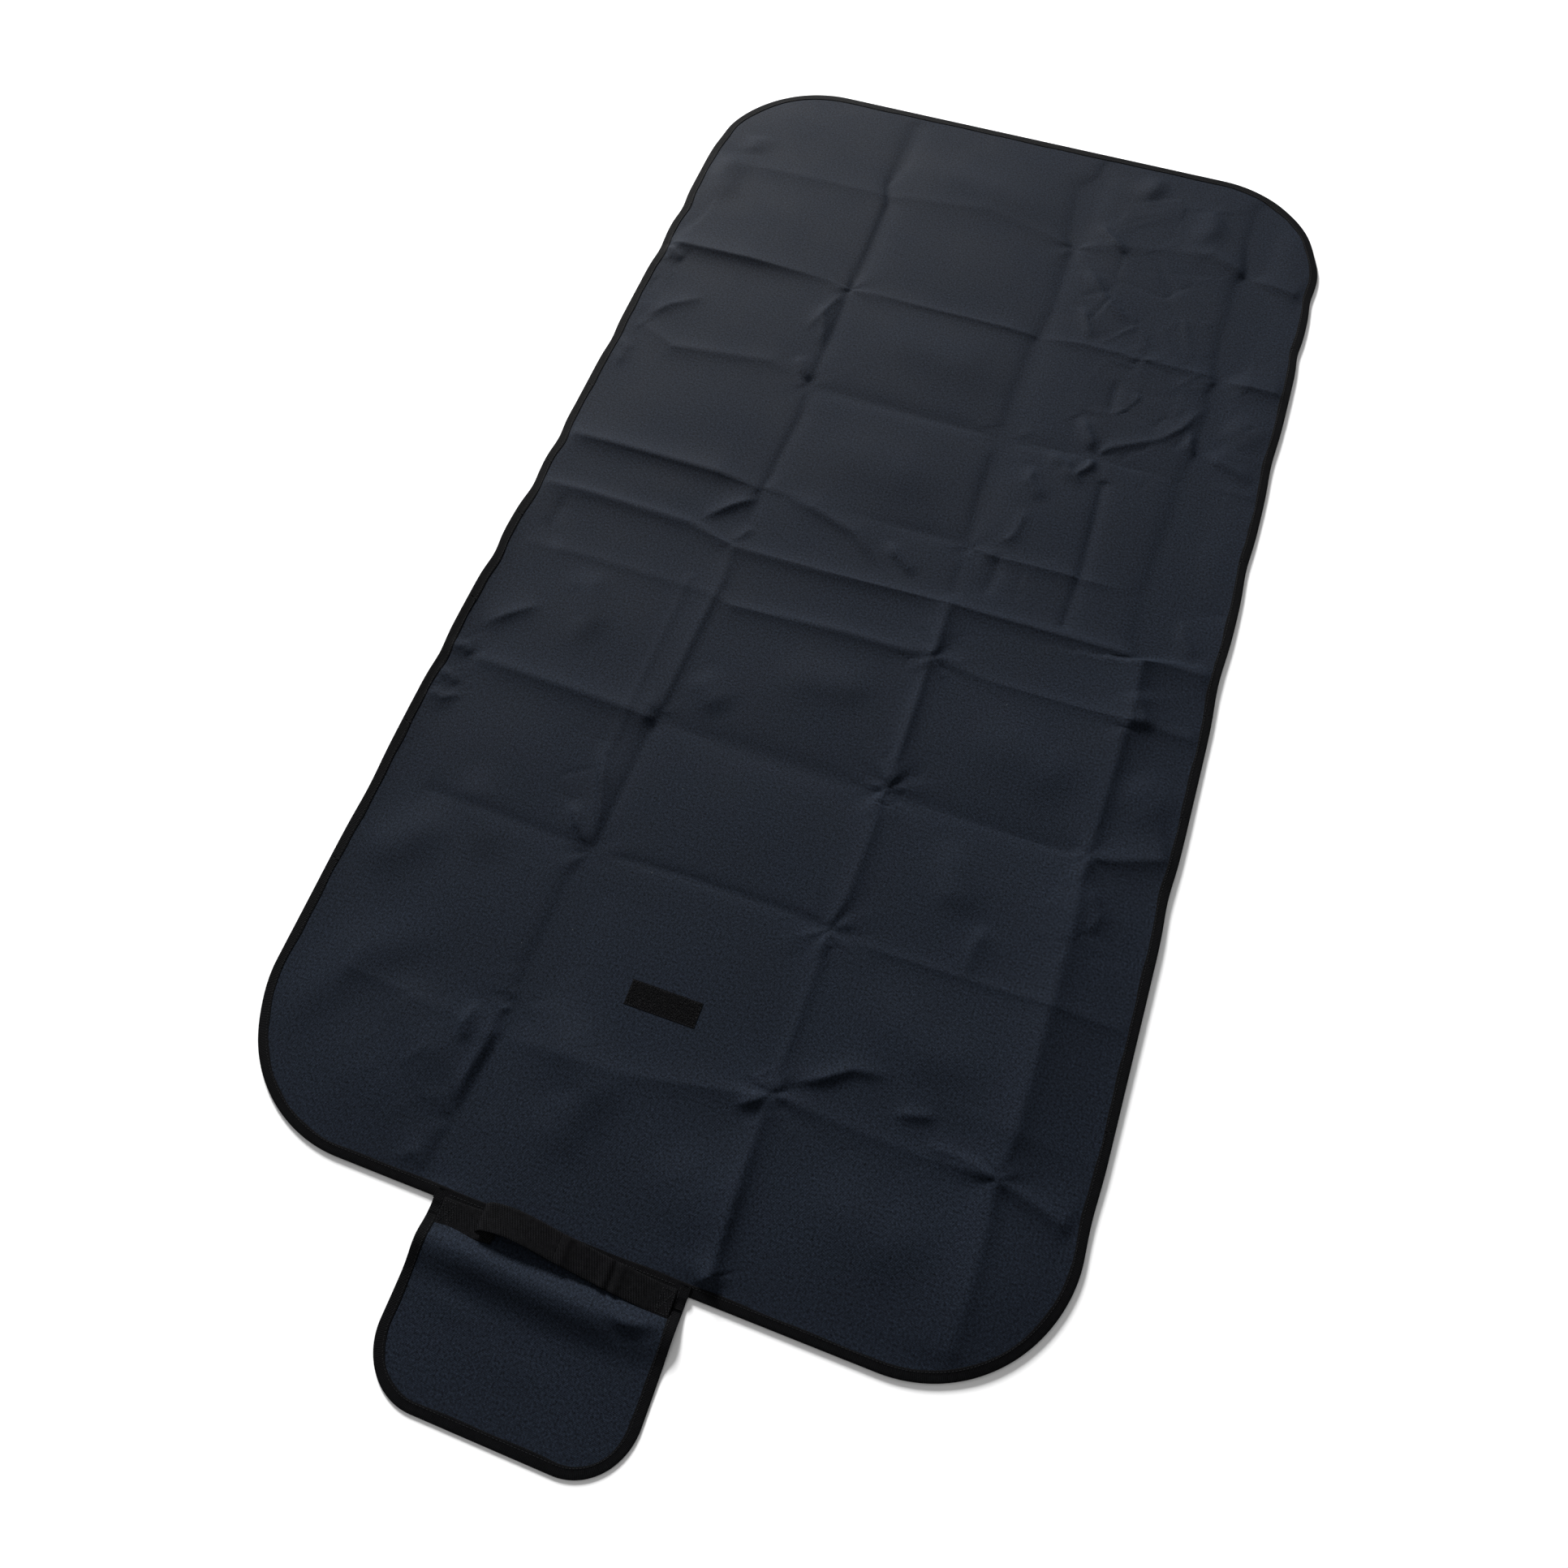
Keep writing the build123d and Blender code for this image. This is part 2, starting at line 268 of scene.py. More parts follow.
# %% Sharp wrinkles
sharp_wrinkles = [
    [(120, 536, 2.4, 7, 10), (160, 485, 2.2, 7, 12), (205, 450, 1.0, 6, 10)],
    [(120, 612, 1.4, 5, 6), (150, 580, 2.6, 4, 8), (172, 562, 1.2, 4, 6)],
    [(134, 468, 2.0, 4, 8), (152, 430, 1.8, 4, 8), (160, 412, 0.8, 4, 5)],
    [(310, 362, 2.6, 8, 4), (292, 318, 2.2, 8, 4), (272, 296, 1.4, 7, 4), (214, 262, 1.8, 6, 5),
     (200, 240, 2.0, 5, 5)],
    [(200, 252, 2.4, 6, 4), (203, 232, 2.4, 6, 4), (190, 215, 2.0, 5, 4), (200, 196, 1.0, 5, 4)],
    [(205, 372, -1.2, 6, 4), (206, 340, -1.8, 7, 4), (208, 308, -1.2, 6, 4)],
    [(150, 236, 1.8, 6, 5), (178, 226, 2.2, 7, 5), (186, 200, 1.0, 6, 5)],
    [(176, 300, 1.6, 4, 7), (192, 270, 2.4, 4, 8), (200, 252, 2.2, 4, 6)],
    [(140, 215, 1.6, 7, 6), (142, 190, 2.2, 8, 8), (166, 166, 1.4, 7, 8)],
    [(150, 156, 1.0, 6, 5), (144, 110, 1.6, 6, 6), (128, 96, 1.2, 5, 5)],
    [(136, 92, -1.4, 7, 5), (140, 60, -2.0, 8, 5), (134, 20, -1.4, 7, 5)],
    [(-124, 82, 1.4, 6, 9), (-80, 74, 2.6, 7, 12), (-26, 58, 2.8, 7, 10), (2, 36, 1.8, 7, 8),
     (26, 20, 0.8, 6, 6)],
    [(10, 62, 1.2, 4, 6), (26, 46, 2.8, 4, 7), (60, 24, 1.4, 4, 6)],
    [(-200, 16, 1.6, 6, 9), (-168, 48, 3.0, 7, 10), (-138, 74, 1.8, 6, 8)],
    [(-148, 2, 1.2, 5, 6), (-136, 30, 1.6, 5, 6)],
    [(-168, 372, 1.2, 6, 6), (-158, 340, 1.8, 6, 7), (-150, 300, 0.6, 5, 6)],
    [(-176, 320, 1.4, 6, 6), (-156, 380, 1.8, 6, 7), (-146, 402, 1.0, 6, 6)],
    [(-172, 282, 1.8, 4, 7), (-158, 262, 2.4, 4, 7), (-143, 246, 1.4, 4, 6)],
    [(-376, 276, 1.6, 8, 12), (-350, 306, 2.6, 9, 14), (-306, 336, 1.2, 9, 12)],
    [(-376, -190, 2.0, 9, 12), (-350, -166, 3.0, 8, 14), (-316, -138, 1.2, 8, 10)],
    [(-360, 8, -1.4, 8, 6), (-354, -40, -2.2, 9, 7), (-332, -74, -1.0, 8, 6)],
    [(-192, -268, 1.6, 5, 8), (-176, -312, 3.0, 4, 10), (-160, -358, 2.0, 4, 8),
     (-153, -384, 0.8, 4, 6)],
    [(-194, -340, 1.8, 5, 7), (-180, -366, 2.8, 5, 8), (-157, -388, 1.2, 5, 6)],
    [(100, -540, 1.0, 5, 8), (136, -522, 3.2, 5, 9), (160, -505, 2.6, 5, 9), (204, -498, 1.2, 5, 7)],
    [(204, -531, 1.2, 4, 6), (226, -525, 2.2, 4, 7), (250, -520, 1.0, 4, 6)],
    [(236, -546, 1.2, 5, 6), (270, -546, 1.6, 5, 7), (312, -549, 1.8, 5, 7)],
    [(66, -572, 1.4, 6, 7), (84, -562, 2.4, 6, 7), (98, -555, 1.2, 5, 6)],
    [(-196, -560, 1.2, 5, 6), (-199, -586, 2.6, 4, 7), (-190, -606, 1.2, 5, 6)],
    [(-178, -560, 1.4, 6, 6), (-172, -598, 2.6, 6, 7), (-178, -640, 1.8, 6, 6),
     (-168, -668, 1.0, 5, 5)],
    [(240, -330, 2.0, 9, 14), (232, -364, 1.6, 8, 12), (236, -392, 0.8, 7, 8)],
    [(318, -36, 2.6, 12, 16), (338, -80, 2.0, 10, 14)],
    [(322, -258, 1.4, 8, 8), (338, -290, 2.0, 8, 9), (330, -316, 0.8, 6, 6)],
    [(318, 300, 2.0, 5, 8), (340, 284, 2.8, 6, 10), (388, 268, 1.8, 7, 10)],
    [(300, 320, 1.6, 5, 6), (306, 296, 2.2, 5, 6), (324, 280, 1.2, 5, 5)],
    [(340, 74, 1.4, 8, 9), (352, 44, 2.2, 9, 10), (372, 16, 1.2, 8, 9)],
    [(84, -724, 0.8, 5, 5), (98, -714, 4.6, 5, 8), (104, -728, 1.4, 5, 5)],
    [(-210, -722, 1.0, 6, 6), (-190, -705, 2.2, 6, 7), (-172, -722, 1.0, 5, 5)],
    [(-392, 400, 2.6, 7, 9), (-380, 388, 3.4, 8, 9), (-362, 382, 1.4, 8, 8)],
    [(-396, -222, 2.4, 6, 7), (-380, -218, 3.4, 6, 7), (-366, -226, 1.2, 6, 6)],
    [(-396, -250, 2.0, 6, 7), (-376, -256, 3.2, 6, 7), (-362, -262, 1.0, 6, 6)],
    [(-394, -276, 2.4, 6, 7), (-374, -282, 2.8, 6, 7), (-352, -270, 1.0, 6, 6)],
    [(-392, 246, 1.6, 5, 6), (-378, 228, 2.2, 5, 6), (-374, 196, 1.0, 5, 6)],
]
print(len(sharp_wrinkles), "sharp wrinkles")

# %% [markdown]
# The slack folds are long and low, so light slides over them instead of breaking on an edge.
# They are the same kind of mark with wide, round flanks.

# %% Slack folds
soft_wrinkles = [
    [(-140, -532, 2.0, 26, 24), (-96, -568, 4.2, 26, 24), (-62, -604, 4.4, 26, 26),
     (-70, -640, 3.2, 24, 26), (-112, -676, 1.4, 22, 24)],
    [(-150, 640, 1.0, 26, 26), (-20, 620, 2.6, 30, 30), (90, 590, 1.6, 24, 26)],
    [(-376, -480, 2.6, 26, 26), (-330, -430, 3.4, 26, 28), (-296, -392, 1.4, 22, 24)],
    [(-300, -330, 1.4, 20, 22), (-290, -370, 2.4, 22, 24), (-240, -440, 1.6, 22, 24)],
    [(-372, 590, 3.4, 16, 22), (-368, 540, 3.6, 18, 22), (-352, 486, 1.6, 16, 20)],
    [(-350, 628, 1.8, 14, 18), (-346, 590, 1.8, 14, 16)],
    [(-320, -96, 1.8, 14, 18), (-280, -104, 2.6, 14, 18), (-262, -140, 2.2, 14, 18),
     (-270, -190, 1.0, 14, 16)],
    [(-380, -680, 1.6, 20, 24), (-330, -560, 2.6, 24, 28), (-230, -500, 1.2, 22, 24)],
    [(-290, -560, 1.2, 22, 24), (-220, -620, 2.4, 22, 26), (-200, -660, 1.4, 18, 22)],
    [(150, -600, 1.4, 24, 28), (230, -640, 2.2, 26, 30), (290, -600, 1.2, 22, 26)],
    [(20, -620, 1.4, 26, 30), (60, -660, 2.4, 28, 30), (90, -700, 1.2, 20, 24)],
    [(180, -250, 1.2, 16, 20), (200, -310, 2.4, 16, 22), (236, -330, 1.4, 14, 18)],
    [(140, -420, 1.0, 22, 24), (220, -470, 2.0, 24, 28), (300, -470, 1.2, 22, 24)],
    [(160, -120, 1.0, 26, 28), (250, -160, 2.2, 26, 30), (300, -120, 1.0, 20, 24)],
    [(-60, -140, 1.0, 22, 26), (30, -130, 2.2, 20, 26), (70, -110, 1.4, 18, 22)],
    [(-130, -160, 1.6, 14, 18), (-100, -190, 2.4, 16, 20), (-84, -210, 1.0, 14, 16)],
    [(-120, 350, 1.2, 30, 34), (20, 330, 2.4, 30, 36), (80, 290, 1.6, 24, 26)],
    [(-120, 170, 1.0, 30, 30), (0, 150, 2.2, 34, 36), (70, 130, 1.0, 26, 26)],
    [(160, 660, 2.4, 12, 18), (176, 690, 3.0, 12, 18), (180, 722, 1.6, 12, 14)],
    [(240, 600, 1.4, 14, 16), (262, 640, 2.4, 14, 18), (256, 690, 1.4, 14, 16)],
    [(330, -130, 2.4, 22, 24), (360, -160, 3.0, 24, 26), (390, -130, 2.2, 20, 22)],
    [(338, 360, 1.6, 18, 20), (366, 330, 2.4, 20, 22), (392, 360, 1.8, 18, 20)],
]
print(len(soft_wrinkles), "slack folds")

# %% [markdown]
# Where two creases cross, the cloth can't lie flat in both, so it puckers: short ridges run
# out from the crossing like the arms of a star. One formula makes them all.

# %% Puckers where creases cross
# x, y, height, reach in mm, number of arms, turn in degrees
puckers = [
    (104, 560, 2.4, 24, 5, 20), (-143, 405, 2.4, 26, 5, 60), (318, 404, 2.6, 26, 4, 30),
    (-144, 246, 1.8, 20, 4, 10), (104, 243, 3.0, 26, 5, 40), (-145, 83, 1.6, 18, 4, 35),
    (104, 82, 2.0, 22, 4, 0), (105, -67, 3.6, 26, 5, 15), (105, -224, 4.0, 28, 6, 10),
    (-148, -225, 1.6, 18, 4, 45), (96, -386, 3.0, 26, 6, 30), (-156, -390, 2.8, 24, 5, 20),
    (97, -550, 3.4, 26, 5, 0), (312, -552, 3.0, 24, 5, 40), (-158, -552, 2.2, 22, 5, 70),
    (-168, -668, 2.6, 24, 5, 15), (314, -232, 2.4, 22, 4, 20), (317, -84, 2.0, 20, 4, 60),
    (-390, 405, 2.2, 20, 4, 0), (-148, 0, 1.2, 16, 4, 20), (222, 404, 1.6, 20, 4, 20),
    (206, 250, 2.4, 24, 5, 50), (317, 250, 1.6, 18, 4, 0),
]


def pucker(x, y, at_x, at_y, height, reach, arms, turn):
    """Ridges running out from one crossing, with a small knot in the middle."""
    dx, dy = x - at_x * mm, y - at_y * mm
    away = np.hypot(dx, dy) / (reach * mm)
    angle = np.arctan2(dy, dx) - math.radians(turn)
    wobble = 0.5 * np.sin(2 * angle + turn)
    arms_here = np.cos(arms * angle + wobble) * away * np.exp(1 - 2.2 * away)
    return height * mm * (0.6 * arms_here - 0.5 * np.exp(-(away / 0.2) ** 2))


print(len(puckers), "puckers")

# %% [markdown]
# Between the creases each panel of cloth is a little slack. Low domes lift some panels, and
# crumples, made from the borders between scattered cells, roughen the parts of the mat that
# were squeezed hardest in the pack. The scatter is seeded, so it falls the same way each time.

# %% Domes and crumples
# x, y, height, reach across, reach along, in mm
domes = [
    (-270, 660, 1.6, 90, 60), (-20, 650, 1.4, 100, 50), (-270, 490, 2.2, 100, 60),
    (-20, 480, 1.8, 90, 60), (-260, 320, 1.8, 90, 55), (-20, 320, 1.4, 90, 60),
    (-270, 160, 2.0, 90, 55), (-10, 165, 1.6, 90, 55), (210, 170, 1.6, 70, 50),
    (-260, 45, 1.2, 80, 26), (-270, -150, 2.0, 80, 50), (-20, -150, 1.8, 90, 50),
    (210, -150, 2.2, 80, 55), (-280, -310, 2.6, 80, 55), (-20, -310, 1.8, 90, 55),
    (210, -310, 2.0, 80, 50), (-270, -480, 2.2, 90, 60), (-20, -470, 1.2, 90, 60),
    (210, -470, 1.8, 80, 55), (-250, -650, 3.4, 70, 50), (0, -650, 1.6, 80, 50),
    (210, -650, 2.0, 90, 50), (355, -440, 1.4, 30, 80), (360, 150, 1.6, 34, 60),
    (360, 640, 1.8, 30, 40), (340, -640, 4.0, 46, 60), (-372, -690, 1.0, 40, 30),
]
# x, y, reach across, reach along, height, size of a cell, in mm
crumpled_places = [
    (212, 640, 90, 70, 2.2, 34), (215, 500, 90, 80, 2.2, 30), (250, 330, 90, 80, 2.4, 30),
    (150, 60, 60, 60, 1.2, 26), (-385, 330, 26, 130, 1.6, 20), (-384, -250, 30, 70, 2.6, 18),
    (-220, -640, 60, 60, 1.4, 28), (360, 330, 46, 120, 1.2, 30), (330, -300, 50, 50, 1.8, 24),
    (330, 240, 40, 40, 1.6, 22), (250, -560, 80, 40, 0.9, 30), (-200, -330, 40, 90, 1.2, 24),
    (104, -220, 44, 44, 1.4, 16), (104, -66, 40, 40, 1.2, 15), (98, -386, 38, 38, 1.2, 16),
    (100, -550, 40, 40, 1.2, 16), (104, 243, 40, 36, 1.2, 15), (-160, -560, 34, 60, 1.2, 18),
]


def dome(x, y, at_x, at_y, height, across, along):
    """A low round hill."""
    reach = ((x - at_x * mm) / (across * mm)) ** 2 + ((y - at_y * mm) / (along * mm)) ** 2
    return height * mm * np.exp(-reach)


def crumple(x, y, at_x, at_y, across, along, height, cell, seed):
    """Facets like crushed cloth: ridges on the borders between cells, fading with distance."""
    window = dome(x, y, at_x, at_y, 1 / mm, across, along)
    spread = 2.2                 # the scatter reaches this many times as far as the window
    inside = window > 0.02
    if not inside.any():
        return np.zeros(x.shape)
    scatter = np.random.default_rng(seed)
    count = int(4 * spread * across * spread * along / cell ** 2 / 2) + 4
    seeds_x = (at_x + scatter.uniform(-spread, spread, count) * across) * mm
    seeds_y = (at_y + scatter.uniform(-spread, spread, count) * along) * mm
    lift = scatter.uniform(-1, 1, count)
    px, py = x[inside], y[inside]
    away = np.hypot(px[:, None] - seeds_x, py[:, None] - seeds_y)
    order = np.argsort(away, axis=1)[:, :2]
    rows = np.arange(len(px))
    first, second = away[rows, order[:, 0]], away[rows, order[:, 1]]
    border = np.exp(-(second - first) / (0.22 * cell * mm))
    bump = border * (lift[order[:, 0]] + lift[order[:, 1]]) * 0.6
    out = np.zeros(x.shape)
    out[inside] = height * mm * bump * window[inside]
    return out


print(len(domes), "domes,", len(crumpled_places), "crumpled places")

# %% [markdown]
# The whole sheet also rests a little above the floor on its own wrinkles, comes down to it at
# the rim, and is rolled up along the near part of its left edge. Below the floor there is
# nothing, so a sum that would go under it is flattened softly.

# %% Height of the underside of the mat over the floor
rest_height = 2.2 * mm
rim_height = 0.5 * mm
rim_reach = 26 * mm
# y, height in mm of the rolled left edge
left_roll = [(-734, 0.0), (-640, 0.4), (-540, 2.4), (-440, 5.0), (-330, 7.5), (-240, 9.5),
             (-150, 9.0), (-60, 7.5), (-10, 5.0), (30, 2.4), (80, 2.8), (130, 1.0), (240, 1.6),
             (330, 2.0), (405, 3.2), (460, 1.4), (600, 1.0), (734, 0.0)]
roll_reach = 17 * mm
# y, height in mm of the right edge, which lifts less
right_roll = [(-734, 0.0), (-600, 1.5), (-300, 3.0), (-80, 1.6), (0, 2.4), (200, 0.8),
              (404, 1.8), (734, 0.0)]
rim_share = 0.72             # how completely the rim comes down
floor_softness = 0.5 * mm


def outline_distance(x, y):
    """How far a point is inside the rounded outline of the mat."""
    dx = np.abs(x) - (half_width - corner_radius)
    dy = np.abs(y) - (half_length - corner_radius)
    outside = np.hypot(np.maximum(dx, 0), np.maximum(dy, 0))
    return corner_radius - outside - np.minimum(np.maximum(dx, dy), 0)


def cloth_height(x, y):
    """Height of the mat's underside at points given from the middle of the mat, in metres."""
    x, y = np.asarray(x, float), np.asarray(y, float)
    height = np.full(x.shape, rest_height)
    for line in along_creases:
        height += mark(line, x, y, fade=0.015)
    for line in across_creases:
        height += mark(line, x, y, fade=0.02)
    for line in sharp_wrinkles:
        height += mark(line, x, y, fade=0.3)
    for line in soft_wrinkles:
        height += mark(line, x, y, fade=0.35, sharp=False)
    for place in puckers:
        height += pucker(x, y, *place)
    for place in domes:
        height += dome(x, y, *place)
    for seed, place in enumerate(crumpled_places):
        height += crumple(x, y, *place, seed)
    # the rim lies on the floor, except where the creases end in it
    inside = np.maximum(outline_distance(x, y), 0)
    settle = np.exp(-inside / rim_reach)
    height = height * (1 - rim_share * settle) + rim_height * rim_share * settle
    for roll, from_edge in ((left_roll, x + half_width), (right_roll, half_width - x)):
        lift = np.interp(y, [v * mm for v, h in roll], [h * mm for v, h in roll])
        height += lift * np.exp(-np.maximum(from_edge, 0) / roll_reach)
    # cloth can't go through the floor: it flattens softly against it
    return 0.5 * (height + np.sqrt(height ** 2 + (2 * floor_softness) ** 2)) - 0.2 * floor_softness


print("cloth in the middle of the mat is", round(float(cloth_height([0.0], [0.0])[0]) / mm, 1), "mm up")

# %% [markdown]
# The cloth is a grid of small squares whose columns draw in where the corners round off, so
# the grid's own edge is the mat's outline. It is worked out once for the whole mat and then
# cut into lengths, so the cut edges match. The lengths keep the normals of the uncut cloth,
# which hides the joins.

# %% Grid over the whole mat
cell = 3.4 * mm


def half_width_at(y, inset=0.0):
    """Half the mat's width at a distance y from its middle, for an outline moved in by inset."""
    straight = half_length - corner_radius
    radius = corner_radius - inset
    past = np.clip((np.abs(y) - straight) / radius, 0, 1)
    return half_width - corner_radius + radius * np.sqrt(1 - past ** 2)


def bend_reach(number_of_crease):
    """Half the length of cloth with closer grid lines at a crease."""
    return max(bend_least, bend_share * crease_levers[number_of_crease - 1]) / 2


def closer_at_bends(y):
    """The same Y places, with twelve steps across every crease."""
    rising = y[-1] >= y[0]
    places = np.sort(np.asarray(y, float))
    for number_of_crease in range(1, row_count):
        middle, reach = crease_lines[number_of_crease - 1], bend_reach(number_of_crease)
        if places[0] < middle - reach and places[-1] > middle + reach:
            outside = places[np.abs(places - middle) > reach + 0.4 * mm]
            inside = np.linspace(middle - reach, middle + reach, 13)
            places = np.sort(np.concatenate([outside, inside]))
    return places if rising else places[::-1]


def grid_rows(step, inset):
    """Y places of the grid's lines, closer together towards the round corners, and the index
    of the line at each place where the cloth is cut into lengths."""
    straight = half_length - corner_radius
    radius = corner_radius - inset
    turn = np.linspace(0, math.pi / 2, int(radius * math.pi / 2 / step / 1.4) + 2)
    far_arc = straight + radius * np.sin(turn)
    cuts = [-straight, *span_edges[1:-1], straight]
    lines = list(-far_arc[::-1])
    marks = [0]
    for a, b in zip(cuts, cuts[1:]):
        count = max(2, int(round((b - a) / step)))
        lines += list(closer_at_bends(np.linspace(a, b, count + 1))[1:])
        marks.append(len(lines) - 1)
    lines += list(far_arc[1:])
    marks[-1] = len(lines) - 1
    return np.array(lines), marks


def upward_normals(points):
    """Unit normals of a grid of points."""
    normals = np.cross(np.gradient(points, axis=1), np.gradient(points, axis=0))
    return normals / np.linalg.norm(normals, axis=2)[..., None]


def mat_grid(step, inset, height=cloth_height):
    """Points and upward normals of the mat's underside, and where the lengths are cut."""
    lines, marks = grid_rows(step, inset)
    across = np.linspace(-1, 1, int(2 * half_width / step) + 1)
    x = across[None, :] * half_width_at(lines, inset)[:, None]
    y = np.repeat(lines[:, None], len(across), axis=1)
    points = np.stack([x, y, height(x, y)], axis=2)
    return points, upward_normals(points), marks


fine_points, fine_normals, fine_marks = mat_grid(cell, cloth_inset)
print("fine grid", fine_points.shape[:2], "highest cloth",
      round(float(fine_points[..., 2].max()) / mm, 1), "mm")

# %% [markdown]
# Finishes come next. Woven things share a few effects, so each effect is a node group with
# named inputs: a plain weave, the ribs of a tape, slow changes of tone, and lint. They read
# the flat pattern of each piece from its UV map in metres, so threads keep their real size
# and stay on the cloth when it bends.

# %% Helpers for node groups
def new_group(name, inputs, outputs):
    """An empty node group with the given sockets: (name, socket type, default) and (name, type)."""
    tree = bpy.data.node_groups.new(name, "ShaderNodeTree")
    for label, kind, default in inputs:
        socket = tree.interface.new_socket(label, in_out="INPUT", socket_type=kind)
        if default is not None:
            socket.default_value = default
    for label, kind in outputs:
        tree.interface.new_socket(label, in_out="OUTPUT", socket_type=kind)
    return tree, tree.nodes.new("NodeGroupInput").outputs, tree.nodes.new("NodeGroupOutput").inputs


def calc(tree, operation, first, second=None, third=None):
    """One math node. An argument is a number or another node's output."""
    node = tree.nodes.new("ShaderNodeMath")
    node.operation = operation
    for socket, value in zip(node.inputs, (first, second, third)):
        if isinstance(value, (int, float)):
            socket.default_value = value
        elif value is not None:
            tree.links.new(value, socket)
    return node.outputs[0]


def noise(tree, vector, scale, detail=2.0, roughness=0.5):
    """Cloudy noise from 0 to 1."""
    node = tree.nodes.new("ShaderNodeTexNoise")
    node.inputs["Detail"].default_value = detail
    node.inputs["Roughness"].default_value = roughness
    tree.links.new(vector, node.inputs["Vector"])
    if isinstance(scale, (int, float)):
        node.inputs["Scale"].default_value = scale
    else:
        tree.links.new(scale, node.inputs["Scale"])
    return node.outputs["Fac"]


def mix_colour(tree, share, first, second):
    """The first colour where share is 0, the second where it is 1."""
    node = tree.nodes.new("ShaderNodeMix")
    node.data_type = "RGBA"
    # a mix node has one set of sockets for each kind of data; 6 and 7 are its colours
    for socket, value in zip((node.inputs[0], node.inputs[6], node.inputs[7]), (share, first, second)):
        if isinstance(value, (int, float)):
            socket.default_value = value
        elif isinstance(value, tuple):
            socket.default_value = (*value, 1.0)
        else:
            tree.links.new(value, socket)
    return node.outputs[2]


print("helpers: new_group, calc, noise, mix_colour")

# %% [markdown]
# In a plain weave each thread goes over one and under the next. The product of two sines,
# one along each thread direction, has that pattern: where it is positive the warp is on top,
# and where it is negative the weft is. Its size gives the round tops of the threads.

# %% Plain weave group
vector, number, colour = "NodeSocketVector", "NodeSocketFloat", "NodeSocketColor"
weave_group, given, wanted = new_group(
    "plain_weave",
    [("Flat", vector, None), ("Pitch", number, 0.0008), ("Warp", colour, None),
     ("Weft", colour, None), ("Slub", number, 0.3)],
    [("Color", colour), ("Height", number)])
split = weave_group.nodes.new("ShaderNodeSeparateXYZ")
weave_group.links.new(given["Flat"], split.inputs[0])
half_turns = calc(weave_group, "DIVIDE", math.pi, given["Pitch"])
warp_wave = calc(weave_group, "SINE", calc(weave_group, "MULTIPLY", split.outputs[0], half_turns))
weft_wave = calc(weave_group, "SINE", calc(weave_group, "MULTIPLY", split.outputs[1], half_turns))
over = calc(weave_group, "MULTIPLY", warp_wave, weft_wave)
thread_size = calc(weave_group, "DIVIDE", 1.0, given["Pitch"])
grain = noise(weave_group, given["Flat"], calc(weave_group, "MULTIPLY", thread_size, 0.55), 3.0, 0.7)
slub = calc(weave_group, "MULTIPLY", calc(weave_group, "SUBTRACT", grain, 0.5), given["Slub"])
thread_colour = mix_colour(weave_group, calc(weave_group, "GREATER_THAN", over, 0.0),
                           given["Weft"], given["Warp"])
gain = calc(weave_group, "ADD", 1.0, calc(weave_group, "MULTIPLY", slub, 2.0))
lift_colour = weave_group.nodes.new("ShaderNodeVectorMath")
lift_colour.operation = "SCALE"
weave_group.links.new(thread_colour, lift_colour.inputs[0])
weave_group.links.new(gain, lift_colour.inputs["Scale"])
weave_group.links.new(lift_colour.outputs[0], wanted["Color"])
tops = calc(weave_group, "POWER", calc(weave_group, "ABSOLUTE", over), 0.6)
weave_group.links.new(calc(weave_group, "ADD", tops, slub), wanted["Height"])
print("group", weave_group.name, "puts out", [v.name for v in wanted if v.name])

# %% [markdown]
# Binding tape and webbing have ribs across their length. The same group also tilts the ribs,
# because webbing is a twill, whose ribs climb along the strap.

# %% Ribbed tape group
rib_group, given, wanted = new_group(
    "tape_ribs",
    [("Flat", vector, None), ("Rib pitch", number, 0.0012), ("Slant", number, 0.0),
     ("Thread pitch", number, 0.0007)],
    [("Height", number), ("Groove shade", number)])
split = rib_group.nodes.new("ShaderNodeSeparateXYZ")
rib_group.links.new(given["Flat"], split.inputs[0])
slanted = calc(rib_group, "MULTIPLY_ADD", split.outputs[1], given["Slant"], split.outputs[0])
rib_turns = calc(rib_group, "DIVIDE", 2 * math.pi, given["Rib pitch"])
rib = calc(rib_group, "SINE", calc(rib_group, "MULTIPLY", slanted, rib_turns))
thread_turns = calc(rib_group, "DIVIDE", 2 * math.pi, given["Thread pitch"])
strand = calc(rib_group, "SINE", calc(rib_group, "MULTIPLY", split.outputs[1], thread_turns))
rib_up = calc(rib_group, "MULTIPLY_ADD", rib, 0.5, 0.5)
fuzz = noise(rib_group, given["Flat"], 900.0, 2.0, 0.6)
height = calc(rib_group, "MULTIPLY_ADD", strand, 0.12, calc(rib_group, "ADD", rib_up, fuzz))
rib_group.links.new(height, wanted["Height"])
rib_group.links.new(calc(rib_group, "SUBTRACT", 1.0, rib_up), wanted["Groove shade"])
print("group", rib_group.name)

# %% [markdown]
# No dyed cloth is one even colour. Tone changes slowly over a hand's width, handling polishes
# some places, and dark cloth always shows a few specks of lint.

